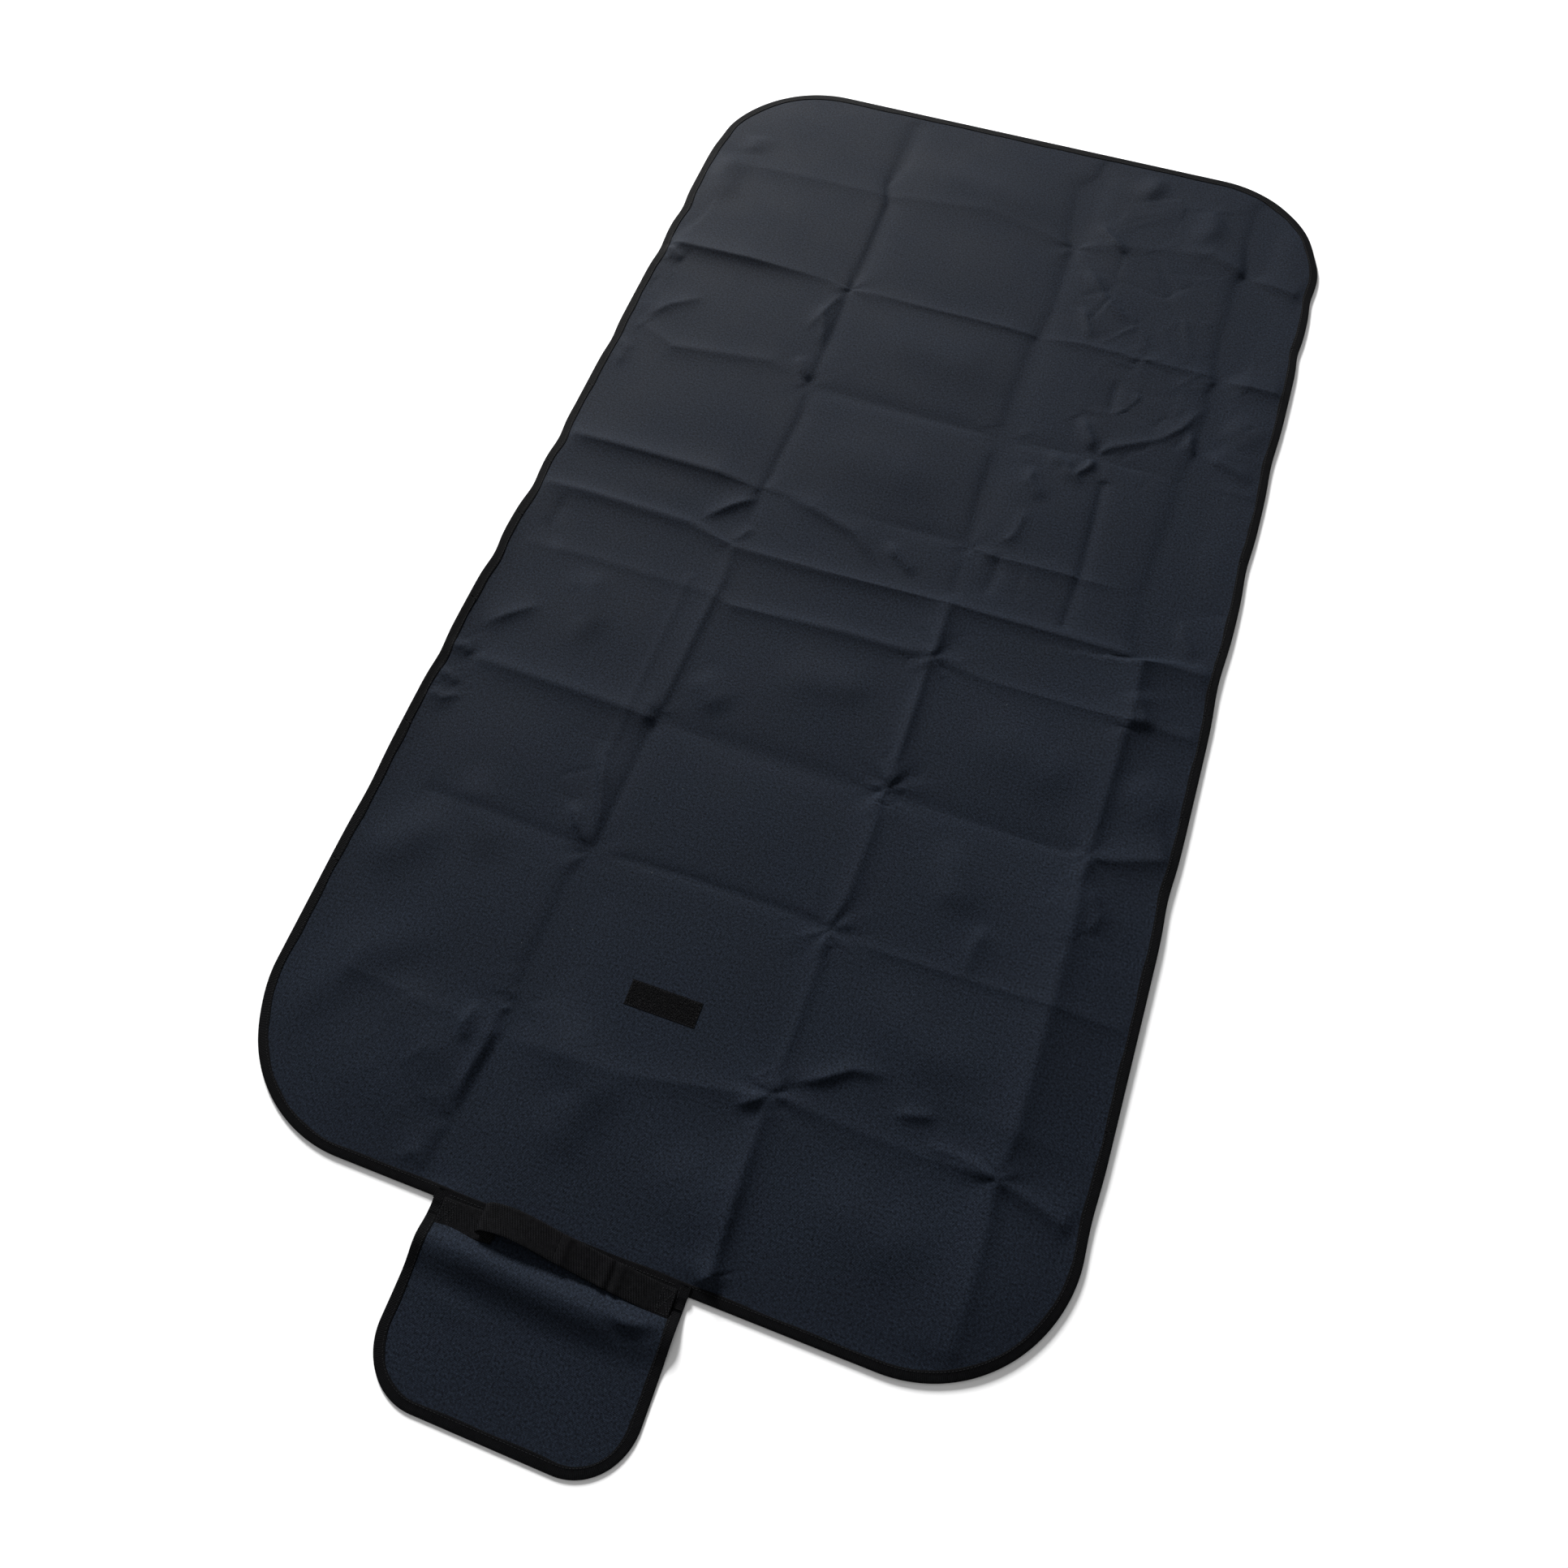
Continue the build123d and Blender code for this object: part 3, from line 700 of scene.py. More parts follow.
# %% Tone and lint groups
tone_group, given, wanted = new_group(
    "slow_tone",
    [("Flat", vector, None), ("Color", colour, None), ("Amount", number, 0.15),
     ("Patch size", number, 0.08)],
    [("Color", colour), ("Tone", number)])
patch_scale = calc(tone_group, "DIVIDE", 1.0, given["Patch size"])
tone = noise(tone_group, given["Flat"], patch_scale, 4.0, 0.6)
swing = calc(tone_group, "MULTIPLY", calc(tone_group, "SUBTRACT", tone, 0.5), given["Amount"])
scaled = tone_group.nodes.new("ShaderNodeVectorMath")
scaled.operation = "SCALE"
tone_group.links.new(given["Color"], scaled.inputs[0])
tone_group.links.new(calc(tone_group, "MULTIPLY_ADD", swing, 2.0, 1.0), scaled.inputs["Scale"])
tone_group.links.new(scaled.outputs[0], wanted["Color"])
tone_group.links.new(tone, wanted["Tone"])

lint_group, given, wanted = new_group(
    "lint",
    [("Flat", vector, None), ("Spacing", number, 0.03), ("Size", number, 0.0007)],
    [("Mask", number)])
dots = lint_group.nodes.new("ShaderNodeTexVoronoi")
lint_group.links.new(given["Flat"], dots.inputs["Vector"])
lint_group.links.new(calc(lint_group, "DIVIDE", 1.0, given["Spacing"]), dots.inputs["Scale"])
reach = calc(lint_group, "DIVIDE", given["Size"], given["Spacing"])
lint_group.links.new(calc(lint_group, "LESS_THAN", dots.outputs["Distance"], reach), wanted["Mask"])
print("groups", tone_group.name, lint_group.name)

# %% [markdown]
# Every material starts the same way: a Principled shader whose even values sit on its own
# sockets, and the flat coordinates of the piece. Helpers do this, place a group, and turn a
# height into bump.

# %% Helpers for materials
def new_material(name, roughness, specular, sheen=0.0, sheen_roughness=0.5):
    """A Principled material and its flat coordinates, with its even values on their own sockets."""
    material = bpy.data.materials.new(name)
    material.use_nodes = True
    tree = material.node_tree
    shader = tree.nodes["Principled BSDF"]
    shader.inputs["Roughness"].default_value = roughness
    shader.inputs["Specular IOR Level"].default_value = specular
    shader.inputs["Sheen Weight"].default_value = sheen
    shader.inputs["Sheen Roughness"].default_value = sheen_roughness
    flat = tree.nodes.new("ShaderNodeUVMap")
    flat.uv_map = "flat"
    return material, tree, shader, flat.outputs[0]


def use_group(tree, group, **values):
    """Places a node group. Underscores in a name stand for spaces."""
    node = tree.nodes.new("ShaderNodeGroup")
    node.node_tree = group
    for label, value in values.items():
        socket = node.inputs[label.replace("_", " ")]
        if isinstance(value, (int, float)):
            socket.default_value = value
        elif isinstance(value, tuple):
            socket.default_value = (*value, 1.0)
        else:
            tree.links.new(value, socket)
    return node.outputs


def raise_surface(tree, shader, height, strength, distance):
    """Bump from a height; distance is how far, in metres, a height of 1 stands up."""
    bump = tree.nodes.new("ShaderNodeBump")
    bump.inputs["Strength"].default_value = strength
    bump.inputs["Distance"].default_value = distance
    tree.links.new(height, bump.inputs["Height"])
    tree.links.new(bump.outputs[0], shader.inputs["Normal"])


def vary_roughness(tree, shader, tone, swing, middle):
    """Roughness that follows a slow tone, half the swing to each side of the middle."""
    rough = calc(tree, "MULTIPLY_ADD", tone, swing, middle - swing / 2)
    tree.links.new(rough, shader.inputs["Roughness"])


print("helpers: new_material, use_group, raise_surface, vary_roughness")

# %% [markdown]
# The outer cloth is a coated oxford: thick dark navy threads crossed by darker ones, with only
# a little gloss. Its lining is a thinner, smoother weave. One function dyes them both.

# %% Woven cloth
cloth_specular = 0.045


def woven_material(name, warp, weft, pitch, roughness, relief, slub, lint_colour):
    """Woven cloth from the colours of its two threads and the distance between threads."""
    material, tree, shader, flat = new_material(name, roughness, cloth_specular, 0.0, 0.45)
    weave = use_group(tree, weave_group, Flat=flat, Pitch=pitch, Warp=warp, Weft=weft, Slub=slub)
    grain = use_group(tree, tone_group, Flat=flat, Color=weave["Color"], Amount=1.9,
                      Patch_size=0.0022)
    toned = use_group(tree, tone_group, Flat=flat, Color=grain["Color"], Amount=0.16,
                      Patch_size=0.09)
    specks = use_group(tree, lint_group, Flat=flat, Spacing=0.045, Size=0.00055)
    dusty = mix_colour(tree, specks["Mask"], toned["Color"], lint_colour)
    tree.links.new(dusty, shader.inputs["Base Color"])
    vary_roughness(tree, shader, toned["Tone"], 0.22, roughness)
    raise_surface(tree, shader, weave["Height"], relief, 0.00022)
    return material


oxford = woven_material("navy_oxford", (0.0104, 0.0142, 0.0222), (0.0058, 0.0080, 0.0126),
                        0.0009, 0.66, 0.8, 0.9, (0.05, 0.055, 0.06))
taffeta = woven_material("lining_taffeta", (0.0086, 0.0118, 0.0186), (0.0060, 0.0082, 0.0130),
                         0.0006, 0.62, 0.25, 0.35, (0.03, 0.03, 0.035))
print("cloths", oxford.name, taffeta.name)

# %% [markdown]
# The foam is seen by nobody once the mat is sewn, but it is there, so it gets the fine closed
# cells of a foam sheet.

# %% Foam
foam, tree, shader, flat = new_material("closed_cell_foam", 0.85, 0.3)
cells = tree.nodes.new("ShaderNodeTexVoronoi")
cells.inputs["Scale"].default_value = 900.0
tree.links.new(flat, cells.inputs["Vector"])
foam_tone = use_group(tree, tone_group, Flat=flat, Color=(0.045, 0.047, 0.052), Amount=0.1,
                      Patch_size=0.05)
tree.links.new(foam_tone["Color"], shader.inputs["Base Color"])
raise_surface(tree, shader, cells.outputs["Distance"], 0.4, 0.0003)
print("material", foam.name)

# %% [markdown]
# The tapes and the webbing are black, but never quite: the tops of their ribs carry a grey
# painted highlight, and the grooves carry painted shade.

# %% Tapes and webbing
def ribbed_material(name, top, shaded_groove, rib_pitch, slant, thread_pitch, roughness, relief):
    """Ribbed tape from the colour of its rib tops, lighter as a painted highlight, and of the grooves
    between them, darker as painted shade.
    """
    material, tree, shader, flat = new_material(name, roughness, 0.03, 0.0, 0.4)
    ribs = use_group(tree, rib_group, Flat=flat, Rib_pitch=rib_pitch, Slant=slant,
                     Thread_pitch=thread_pitch)
    # lighter rib tops are a painted highlight, darker grooves are painted shade
    ribbed = mix_colour(tree, ribs["Groove shade"], top, shaded_groove)
    toned = use_group(tree, tone_group, Flat=flat, Color=ribbed, Amount=0.9, Patch_size=0.004)
    tree.links.new(toned["Color"], shader.inputs["Base Color"])
    vary_roughness(tree, shader, toned["Tone"], 0.2, roughness)
    raise_surface(tree, shader, ribs["Height"], relief, 0.00035)
    return material


# rib tops and grooves hold a painted highlight and painted shade in their colours
grosgrain = ribbed_material("black_grosgrain", (0.0050, 0.0052, 0.0060), (0.0003, 0.0003, 0.0004),
                            0.0012, 0.0, 0.0004, 0.62, 0.7)
webbing = ribbed_material("black_webbing", (0.0085, 0.0085, 0.0095), (0.0003, 0.0003, 0.0004),
                          0.0016, 0.45, 0.0011, 0.58, 0.9)
print("tapes", grosgrain.name, webbing.name)

# %% [markdown]
# Thread is shiny where it is twisted. Pile and hooks are nylon: the loops are soft and matt,
# the hooks are slightly glossy.

# %% Thread, pile and hooks
def yarn_material(name, tint, roughness, specular, patch):
    """Fine twisted fibre; patch is the size of its changes of tone, in metres."""
    material, tree, shader, flat = new_material(name, roughness, specular, 0.04, 0.4)
    toned = use_group(tree, tone_group, Flat=flat, Color=tint, Amount=0.5, Patch_size=patch)
    tree.links.new(toned["Color"], shader.inputs["Base Color"])
    vary_roughness(tree, shader, toned["Tone"], 0.2, roughness)
    twist = noise(tree, flat, 1500.0, 1.0, 0.5)
    raise_surface(tree, shader, twist, 0.3, 0.0001)
    return material


thread = yarn_material("sewing_thread", (0.0042, 0.0045, 0.0056), 0.55, 0.14, 0.02)
pile = yarn_material("loop_pile", (0.0035, 0.0035, 0.0040), 0.75, 0.15, 0.003)
hooks = yarn_material("nylon_hooks", (0.0060, 0.0060, 0.0066), 0.38, 0.4, 0.004)
print("materials", [m.name for m in bpy.data.materials if m.use_nodes][-8:])

# %% [markdown]
# The cloth is first worked out on its flat pattern, with straight sides. Folding has drawn the
# real sides in here and there, so one last function moves every point sideways, and moves the
# whole from the middle of the mat to its place in the shared frame.

# %% Sideways pull of the folds
# y in metres, how far in, in mm, and how far along the side it reaches, in metres
left_pulls = [(-0.640, 1.2, 0.030), (-0.40, 1.6, 0.035), (-0.235, 2.2, 0.022), (-0.100, 2.8, 0.020),
              (0.000, 3.1, 0.022), (0.075, 2.8, 0.020), (0.235, 1.9, 0.020), (0.392, 2.8, 0.024),
              (0.470, 2.5, 0.020), (0.610, 2.5, 0.022)]
right_pulls = [(-0.560, 1.6, 0.030), (-0.250, 2.2, 0.030), (0.000, 3.1, 0.040), (0.150, 2.2, 0.030),
               (0.300, 2.2, 0.035), (0.470, 2.2, 0.020), (0.560, 2.2, 0.020), (0.640, 2.5, 0.024)]


def pulled(points):
    """Points of the flat pattern where they lie in the rumpled mat, in the shared frame."""
    points = np.array(points, float).reshape(-1, 3)
    x, y = points[:, 0].copy(), points[:, 1]
    for pulls, sign in ((left_pulls, 1), (right_pulls, -1)):
        near = smooth_step((-sign * x / half_width - 0.35) / 0.65)
        for place, much, width in pulls:
            points[:, 0] += sign * much * mm * near * np.exp(-((y - place) / width) ** 2)
    return points + (0.0, mat_y, 0.0)


print(len(left_pulls) + len(right_pulls), "pulls along the sides")

# %% [markdown]
# Every piece is a mesh made from arrays of points. One helper turns points, faces and flat
# coordinates into an object. Others close a grid into a layer with a top, a bottom and a rim.

# %% Mesh helper
def make_piece(name, points, faces, flat, material, normals=None):
    """An object from points measured from the middle of the mat, with its flat coordinates."""
    mesh = bpy.data.meshes.new(name)
    faces = [tuple(f) for f in (faces.tolist() if isinstance(faces, np.ndarray) else faces)]
    mesh.from_pydata(pulled(points).tolist(), [], faces)
    uv = mesh.uv_layers.new(name="flat")
    corner = np.zeros(len(mesh.loops), np.int32)
    mesh.loops.foreach_get("vertex_index", corner)
    uv.data.foreach_set("uv", np.asarray(flat, np.float32).reshape(-1, 2)[corner].ravel())
    mesh.polygons.foreach_set("use_smooth", np.ones(len(mesh.polygons), bool))
    mesh.materials.append(material)
    mesh.update()
    if normals is not None:
        mesh.normals_split_custom_set_from_vertices(np.asarray(normals, float).reshape(-1, 3).tolist())
    piece = bpy.data.objects.new(name, mesh)
    bpy.context.scene.collection.objects.link(piece)
    return piece


def grid_faces(rows, columns, start=0, flip=False):
    """Squares of a grid whose points are counted row by row."""
    r, c = np.meshgrid(np.arange(rows - 1), np.arange(columns - 1), indexing="ij")
    a = start + r * columns + c
    squares = np.stack([a, a + 1, a + columns + 1, a + columns], axis=-1).reshape(-1, 4)
    return squares[:, ::-1] if flip else squares


def rim_faces(rows, columns, lower):
    """Narrow faces that close the edge between a top grid and a bottom grid."""
    edge = list(range(columns))
    edge += [r * columns + columns - 1 for r in range(1, rows)]
    edge += [(rows - 1) * columns + c for c in range(columns - 2, -1, -1)]
    edge += [r * columns for r in range(rows - 2, 0, -1)]
    edge = np.array(edge)
    after = np.roll(edge, -1)
    return np.stack([edge, lower + edge, lower + after, after], axis=1)


def tube_faces(rows, columns, start=0):
    """Squares round a tube whose rings of points are counted one after the other."""
    r, c = np.meshgrid(np.arange(rows - 1), np.arange(columns), indexing="ij")
    a, b = start + r * columns + c, start + r * columns + (c + 1) % columns
    return np.stack([a, b, b + columns, a + columns], -1).reshape(-1, 4).tolist()


def cloth_layer(name, points, normals, low, high, material):
    """A closed layer of cloth between two heights over the mat's underside."""
    rows, columns = points.shape[:2]
    top = points + (0, 0, high)
    bottom = points + (0, 0, low)
    lower = rows * columns
    faces = np.concatenate([grid_faces(rows, columns), grid_faces(rows, columns, lower, True),
                            rim_faces(rows, columns, lower)])
    flat = np.concatenate([points[..., :2].reshape(-1, 2)] * 2)
    both = np.concatenate([normals.reshape(-1, 3), -normals.reshape(-1, 3)])
    return make_piece(name, np.concatenate([top.reshape(-1, 3), bottom.reshape(-1, 3)]), faces,
                      flat, material, both)


print("a grid of 3 by 3 points has", len(grid_faces(3, 3)), "squares")

# %% [markdown]
# Each length of cloth crosses one crease, and its grid lines are closer over a stretch a little
# shorter than the half circle that a fold there turns through. Here its place is only baked in.

# %% Baking a length in place
def bend_over_crease(piece):
    """Bakes the piece's place into its points; the piece does not turn."""
    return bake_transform(piece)


def rows_of_span(number_of_crease):
    """The design rows that one length of cloth stands for."""
    rows = [number_of_crease]
    return rows + [row_count] if number_of_crease == row_count - 1 else rows


def flat_area(low, high, inset):
    """Area of the mat between two Y places, inside its rounded outline."""
    y = np.linspace(low, high, 400)
    wide = 2 * half_width_at(y, inset)
    return float(np.sum((wide[1:] + wide[:-1]) / 2 * np.diff(y)))


print("whole cloth", round(flat_area(-half_length, half_length, cloth_inset), 3), "m2")

# %% [markdown]
# Three layers make the mat: lining below, foam between, oxford on top. The foam is hidden, so
# its grid is coarse. Real layers are cut as single sheets; here each is nine lengths, because a
# length can bend over one crease only.

# %% Lining, foam and face cloth
coarse_cell = 7 * mm
foam_squeeze = 0.12 * mm     # the foam is thinned so that it never shows through the cloths
bulge_share = 1.2


def under_height(x, y):
    """Height for the coarse layers: a little lower where the cloth curves too sharply for them."""
    here = cloth_height(x, y)
    bulge = np.zeros_like(here)
    for dx, dy in ((1, 0), (-1, 0), (0, 1), (0, -1), (1, 1), (-1, 1), (1, -1), (-1, -1)):
        near = cloth_height(x + dx * coarse_cell / 2, y + dy * coarse_cell / 2)
        far = cloth_height(x + dx * coarse_cell, y + dy * coarse_cell)
        bulge = np.maximum(bulge, (here + far) / 2 - near)
    return np.maximum(here - bulge_share * bulge, 0.0)


coarse = mat_grid(coarse_cell, cloth_inset, under_height)
layers = [
    ("lining_cloth", coarse, lining_low.z, lining_high.z, taffeta, "lining_cloth"),
    ("foam", coarse, foam_low.z + foam_squeeze, foam_high.z - 3 * foam_squeeze, foam, "foam"),
    ("face_cloth", (fine_points, fine_normals, fine_marks), face_low.z, face_high.z, oxford,
     "outer_cloth"),
]
for layer, (points, normals, marks), low, high, material, slot in layers:
    for number_of_crease in range(1, row_count):
        first, last = marks[number_of_crease - 1], marks[number_of_crease] + 1
        piece = cloth_layer(f"{layer}_length_{number_of_crease}", points[first:last],
                            normals[first:last], low, high, material)
        bend_over_crease(piece)
        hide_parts(*[f"{layer}_row_{row}" for row in rows_of_span(number_of_crease)])
        if layer == "foam":
            continue
        ends = span_edges[number_of_crease - 1], span_edges[number_of_crease]
    print(layer, "in", row_count - 1, "lengths,", points.shape[0] * points.shape[1], "points")

# %% [markdown]
# Binding tape is folded in half over the raw edges and sewn through. It is swept along the
# outline: at each step a narrow loop of points says how the tape goes over the edge, and each
# point takes the height of the cloth under it, so the tape follows every ridge.

# %% Path along the outline
def edge_path(low, high, step):
    """Outline between two Y places, as lists of points, inward directions and lengths. It is one
    path round an end of the mat, or two separate sides."""
    straight = half_length - corner_radius

    def side(x, y0, y1):
        y = closer_at_bends(np.linspace(y0, y1, max(2, int(abs(y1 - y0) / step) + 1)))
        at = np.stack([np.full(len(y), x), y], axis=1)
        return at, np.repeat([[-math.copysign(1, x), 0.0]], len(y), axis=0)

    def end(sign):
        turn = np.linspace(0, math.pi / 2, int(corner_radius * math.pi / 2 / step) + 1)
        out = np.stack([-np.cos(turn), sign * np.sin(turn)], axis=1)
        centre = np.array([-(half_width - corner_radius), sign * straight])
        left = centre + corner_radius * out, -out
        x = np.linspace(centre[0], -centre[0], int(-2 * centre[0] / step) + 1)[1:-1]
        flat_part = (np.stack([x, np.full(len(x), sign * half_length)], axis=1),
                     np.repeat([[0.0, -sign]], len(x), axis=0))
        right = left[0][::-1] * (-1, 1), left[1][::-1] * (-1, 1)
        return left, flat_part, right

    if low > -straight and high < straight:
        runs = [[side(-half_width, low, high)], [side(half_width, low, high)]]
    else:
        sign, inner = (-1, high) if low <= -straight else (1, low)
        left, flat_part, right = end(sign)
        down, up = side(-half_width, inner, sign * straight), side(half_width, sign * straight, inner)
        runs = [[(down[0][:-1], down[1][:-1]), left, flat_part, right, (up[0][1:], up[1][1:])]]
    paths = []
    for run in runs:
        at = np.concatenate([r[0] for r in run])
        inward = np.concatenate([r[1] for r in run])
        lengths = np.concatenate([[0], np.cumsum(np.linalg.norm(np.diff(at, axis=0), axis=1))])
        paths.append((at, inward, lengths))
    return paths


print("the outline of the first length has", len(edge_path(*span_edges[:2], 10 * mm)), "path")

# %% [markdown]
# The tape's cross-section is one closed loop: over the top, round the raw edges, back under, and
# home on the inside, 10 mm deep. Hand-guided sewing never keeps its inner edge quite straight.

# %% Cross-section of the binding
# distance in from the edge and height over the mat's underside, in mm, round the whole tape
tape_loop = [(10.0, 2.16), (8.6, 2.22), (7.8, 2.14), (5.0, 2.34), (2.0, 2.34), (0.7, 2.20),
             (0.10, 1.75), (-0.10, 1.10), (0.10, 0.45), (0.7, 0.06), (2.0, 0.0), (6.0, 0.0),
             (10.0, 0.02), (10.0, 0.27), (6.0, 0.27), (0.8, 0.30), (0.32, 1.10), (0.8, 1.92),
             (6.0, 1.93), (10.0, 1.93)]


def edge_waver(at):
    """Small uneven pull of hand-guided sewing, in metres."""
    x, y = at[:, 0], at[:, 1]
    return (0.45 * np.sin(61 * y + 23 * x) + 0.3 * np.sin(139 * y - 87 * x + 1.0)) * mm


def sweep_tape(paths, loop, height):
    """Points, faces and flat coordinates of a tape swept along paths."""
    loop = np.array(loop) * mm
    around = np.concatenate([[0], np.cumsum(np.linalg.norm(np.diff(loop, axis=0), axis=1))])
    points, faces, flat = [], [], []
    start = 0
    for at, inward, lengths in paths:
        rows, columns = len(at), len(loop)
        inset = loop[None, :, 0] + edge_waver(at)[:, None] * (loop[None, :, 0] > 3 * mm)
        plan = at[:, None, :] + inward[:, None, :] * inset[..., None]
        z = height(plan[..., 0], plan[..., 1]) + loop[None, :, 1]
        points.append(np.concatenate([plan, z[..., None]], axis=2).reshape(-1, 3))
        flat.append(np.stack(np.broadcast_arrays(lengths[:, None], around[None, :]), -1).reshape(-1, 2))
        faces += tube_faces(rows, columns, start)
        first, last = start + np.arange(columns), start + (rows - 1) * columns + np.arange(columns)
        half = columns // 2
        for ring, flip in ((first, True), (last, False)):
            for k in range(half - 1):
                quad = [ring[k], ring[k + 1], ring[columns - 2 - k], ring[columns - 1 - k]]
                faces.append([int(v) for v in (quad if flip else quad[::-1])])
        start += rows * columns
    return np.concatenate(points), faces, np.concatenate(flat)


print("the tape's section has", len(tape_loop), "points")

# %% [markdown]
# The stitches are real pieces of thread, each a small rounded bar that dives into the tape at
# both ends. There are more than two thousand, made by one function.

# %% Stitches
thread_radius = 0.24 * mm
thread_sides = 6
# share of the stitch's length, share of the thread's radius, and lift in radii
thread_rings = [(0.0, 0.35, -0.6), (0.18, 0.95, 0.25), (0.5, 1.0, 0.45), (0.82, 0.95, 0.25),
                (1.0, 0.35, -0.6)]


def stitch_bars(starts, ends, ups, radius=thread_radius):
    """One rounded bar of thread for each start and end, arched a little towards up."""
    starts, ends, ups = (np.asarray(v, float) for v in (starts, ends, ups))
    run = ends - starts
    along = run / np.linalg.norm(run, axis=1)[:, None]
    across = np.cross(ups, along)
    across /= np.linalg.norm(across, axis=1)[:, None]
    ups = np.cross(along, across)
    turn = np.arange(thread_sides) * 2 * math.pi / thread_sides
    points, flat = [], []
    for share, size, lift in thread_rings:
        centre = starts + run * share + ups * radius * lift
        for angle in turn:
            points.append(centre + radius * size * (across * math.cos(angle) + ups * math.sin(angle)))
            flat.append(centre[:, :2] + angle * 0.2 * mm)
    points = np.stack(points, axis=1)
    flat = np.stack(flat, axis=1)
    each = len(thread_rings) * thread_sides
    one = tube_faces(len(thread_rings), thread_sides)
    one += [list(range(thread_sides))[::-1], list(range(each - thread_sides, each))]
    faces = [[v + i * each for v in f] for i in range(len(starts)) for f in one]
    return points.reshape(-1, 3), faces, flat.reshape(-1, 2)


def make_stitches(name, bars):
    """A piece of thread from the result of stitch_bars."""
    points, faces, flat = bars
    piece = make_piece(name, points, faces, flat, thread)
    return piece


def seam_bars(paths, inset, above, below, height, pitch=3.4 * mm, length=2.5 * mm):
    """Stitches along paths, on the upper face and, half a pitch on, on the lower face."""
    starts, ends, ups = [], [], []
    for at, inward, lengths in paths:
        for offset, lift, up in ((0.0, above, 1.0), (pitch / 2, below, -1.0)):
            places = np.arange(pitch + offset, lengths[-1] - pitch, pitch)
            for shift, found in ((0.0, starts), (length, ends)):
                s = places + shift
                line = at + inward * inset
                x, y = np.interp(s, lengths, line[:, 0]), np.interp(s, lengths, line[:, 1])
                found.append(np.stack([x, y, height(x, y) + lift], axis=1))
            ups.append(np.repeat([[0.0, 0.0, up]], len(places), axis=0))
    return stitch_bars(np.concatenate(starts), np.concatenate(ends), np.concatenate(ups))


print("thread is", round(2 * thread_radius / mm, 2), "mm thick")

# %% [markdown]
# Now the tape and its seam go on, in the same nine lengths as the cloth.

# %% Binding and its stitches along every length
seam_inset = 8.2 * mm
tape_step = 2.2 * mm
tape_top = 2.22 * mm         # upper face of the tape at the seam
stitch_points = thread_sides * len(thread_rings)
stitch_count = 0
binding_run = 0.0
for number_of_crease in range(1, row_count):
    paths = edge_path(span_edges[number_of_crease - 1], span_edges[number_of_crease], tape_step)
    points, faces, flat = sweep_tape(paths, tape_loop, cloth_height)
    piece = make_piece(f"edge_binding_length_{number_of_crease}", points, faces, flat, grosgrain)
    bend_over_crease(piece)
    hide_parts(*[f"edge_binding_row_{row}" for row in rows_of_span(number_of_crease)])
    bars = seam_bars(paths, seam_inset, tape_top, 0.0, cloth_height)
    seam = make_stitches(f"binding_stitches_length_{number_of_crease}", bars)
    bend_over_crease(seam)
    stitch_count += len(bars[0]) // stitch_points
    binding_run += sum(lengths[-1] for at, inward, lengths in paths)
print("binding goes round", round(binding_run, 2), "m with", stitch_count, "stitches")

# %% [markdown]
# The flap is two layers of cloth, open on the mat's side and bound on the other three. Fresh
# from its folds it stands up in a ridge, then falls to the floor and lies on its hook tape.

# %% Shape of the flap
flap_centre = -35 * mm
flap_half = 122 * mm
flap_corner = 57 * mm
flap_start = -(half_length - 8 * mm)
flap_end = -(half_length + 162 * mm)
flap_bends = [-734.6 * mm, -759.8 * mm]
flap_cut = sum(flap_bends) / 2
# y and height over the floor, in mm, from the free end up to the mat
flap_profile = np.array([(-900, 0.9), (-868, 0.95), (-835, 0.7), (-812, 0.8), (-802, 1.2),
                         (-794, 2.8), (-786, 6.0), (-779, 9.4), (-773, 11.3), (-768, 11.6),
                         (-763, 10.0), (-757, 6.6), (-751, 3.8), (-744, 2.8), (-734, 2.5),
                         (-720, 2.5)]) * mm
# height, x, y, half width, half length, where its bend turns, bow (1/m) and slope, in metres
flap_wrinkles = [(0.0022, 0.046, -0.7695, 0.016, 0.0042, 0.046, 14, 0.0),
                 (-0.0016, 0.050, -0.7800, 0.024, 0.0060, 0.046, 10, 0.0),
                 (0.0009, -0.105, -0.812, 0.03, 0.010, -0.105, 0, 0.2),
                 (0.0005, -0.04, -0.836, 0.05, 0.012, -0.04, 0, 0.0)]
flap_least = 0.8 * mm        # height where the flap lies flat on its hook tape
flap_on_mat = 2.42 * mm      # height of the flap over the mat's underside where it is sewn on
flap_leaves = -742 * mm      # where it starts to come off the mat, over the next 7 mm
flap_leaving = 7 * mm


def smooth_curve(stations, at):
    """Smooth curve through rows of (place, value, ...), read at given places."""
    stations = np.asarray(stations, float)
    place, values = stations[:, 0], stations[:, 1:]
    slope = np.gradient(values, place, axis=0)
    k = np.clip(np.searchsorted(place, at) - 1, 0, len(place) - 2)
    gap = (place[k + 1] - place[k])[..., None]
    t = (np.asarray(at) - place[k])[..., None] / gap
    return ((2 * t**3 - 3 * t**2 + 1) * values[k] + (t**3 - 2 * t**2 + t) * gap * slope[k]
            + (3 * t**2 - 2 * t**3) * values[k + 1] + (t**3 - t**2) * gap * slope[k + 1])


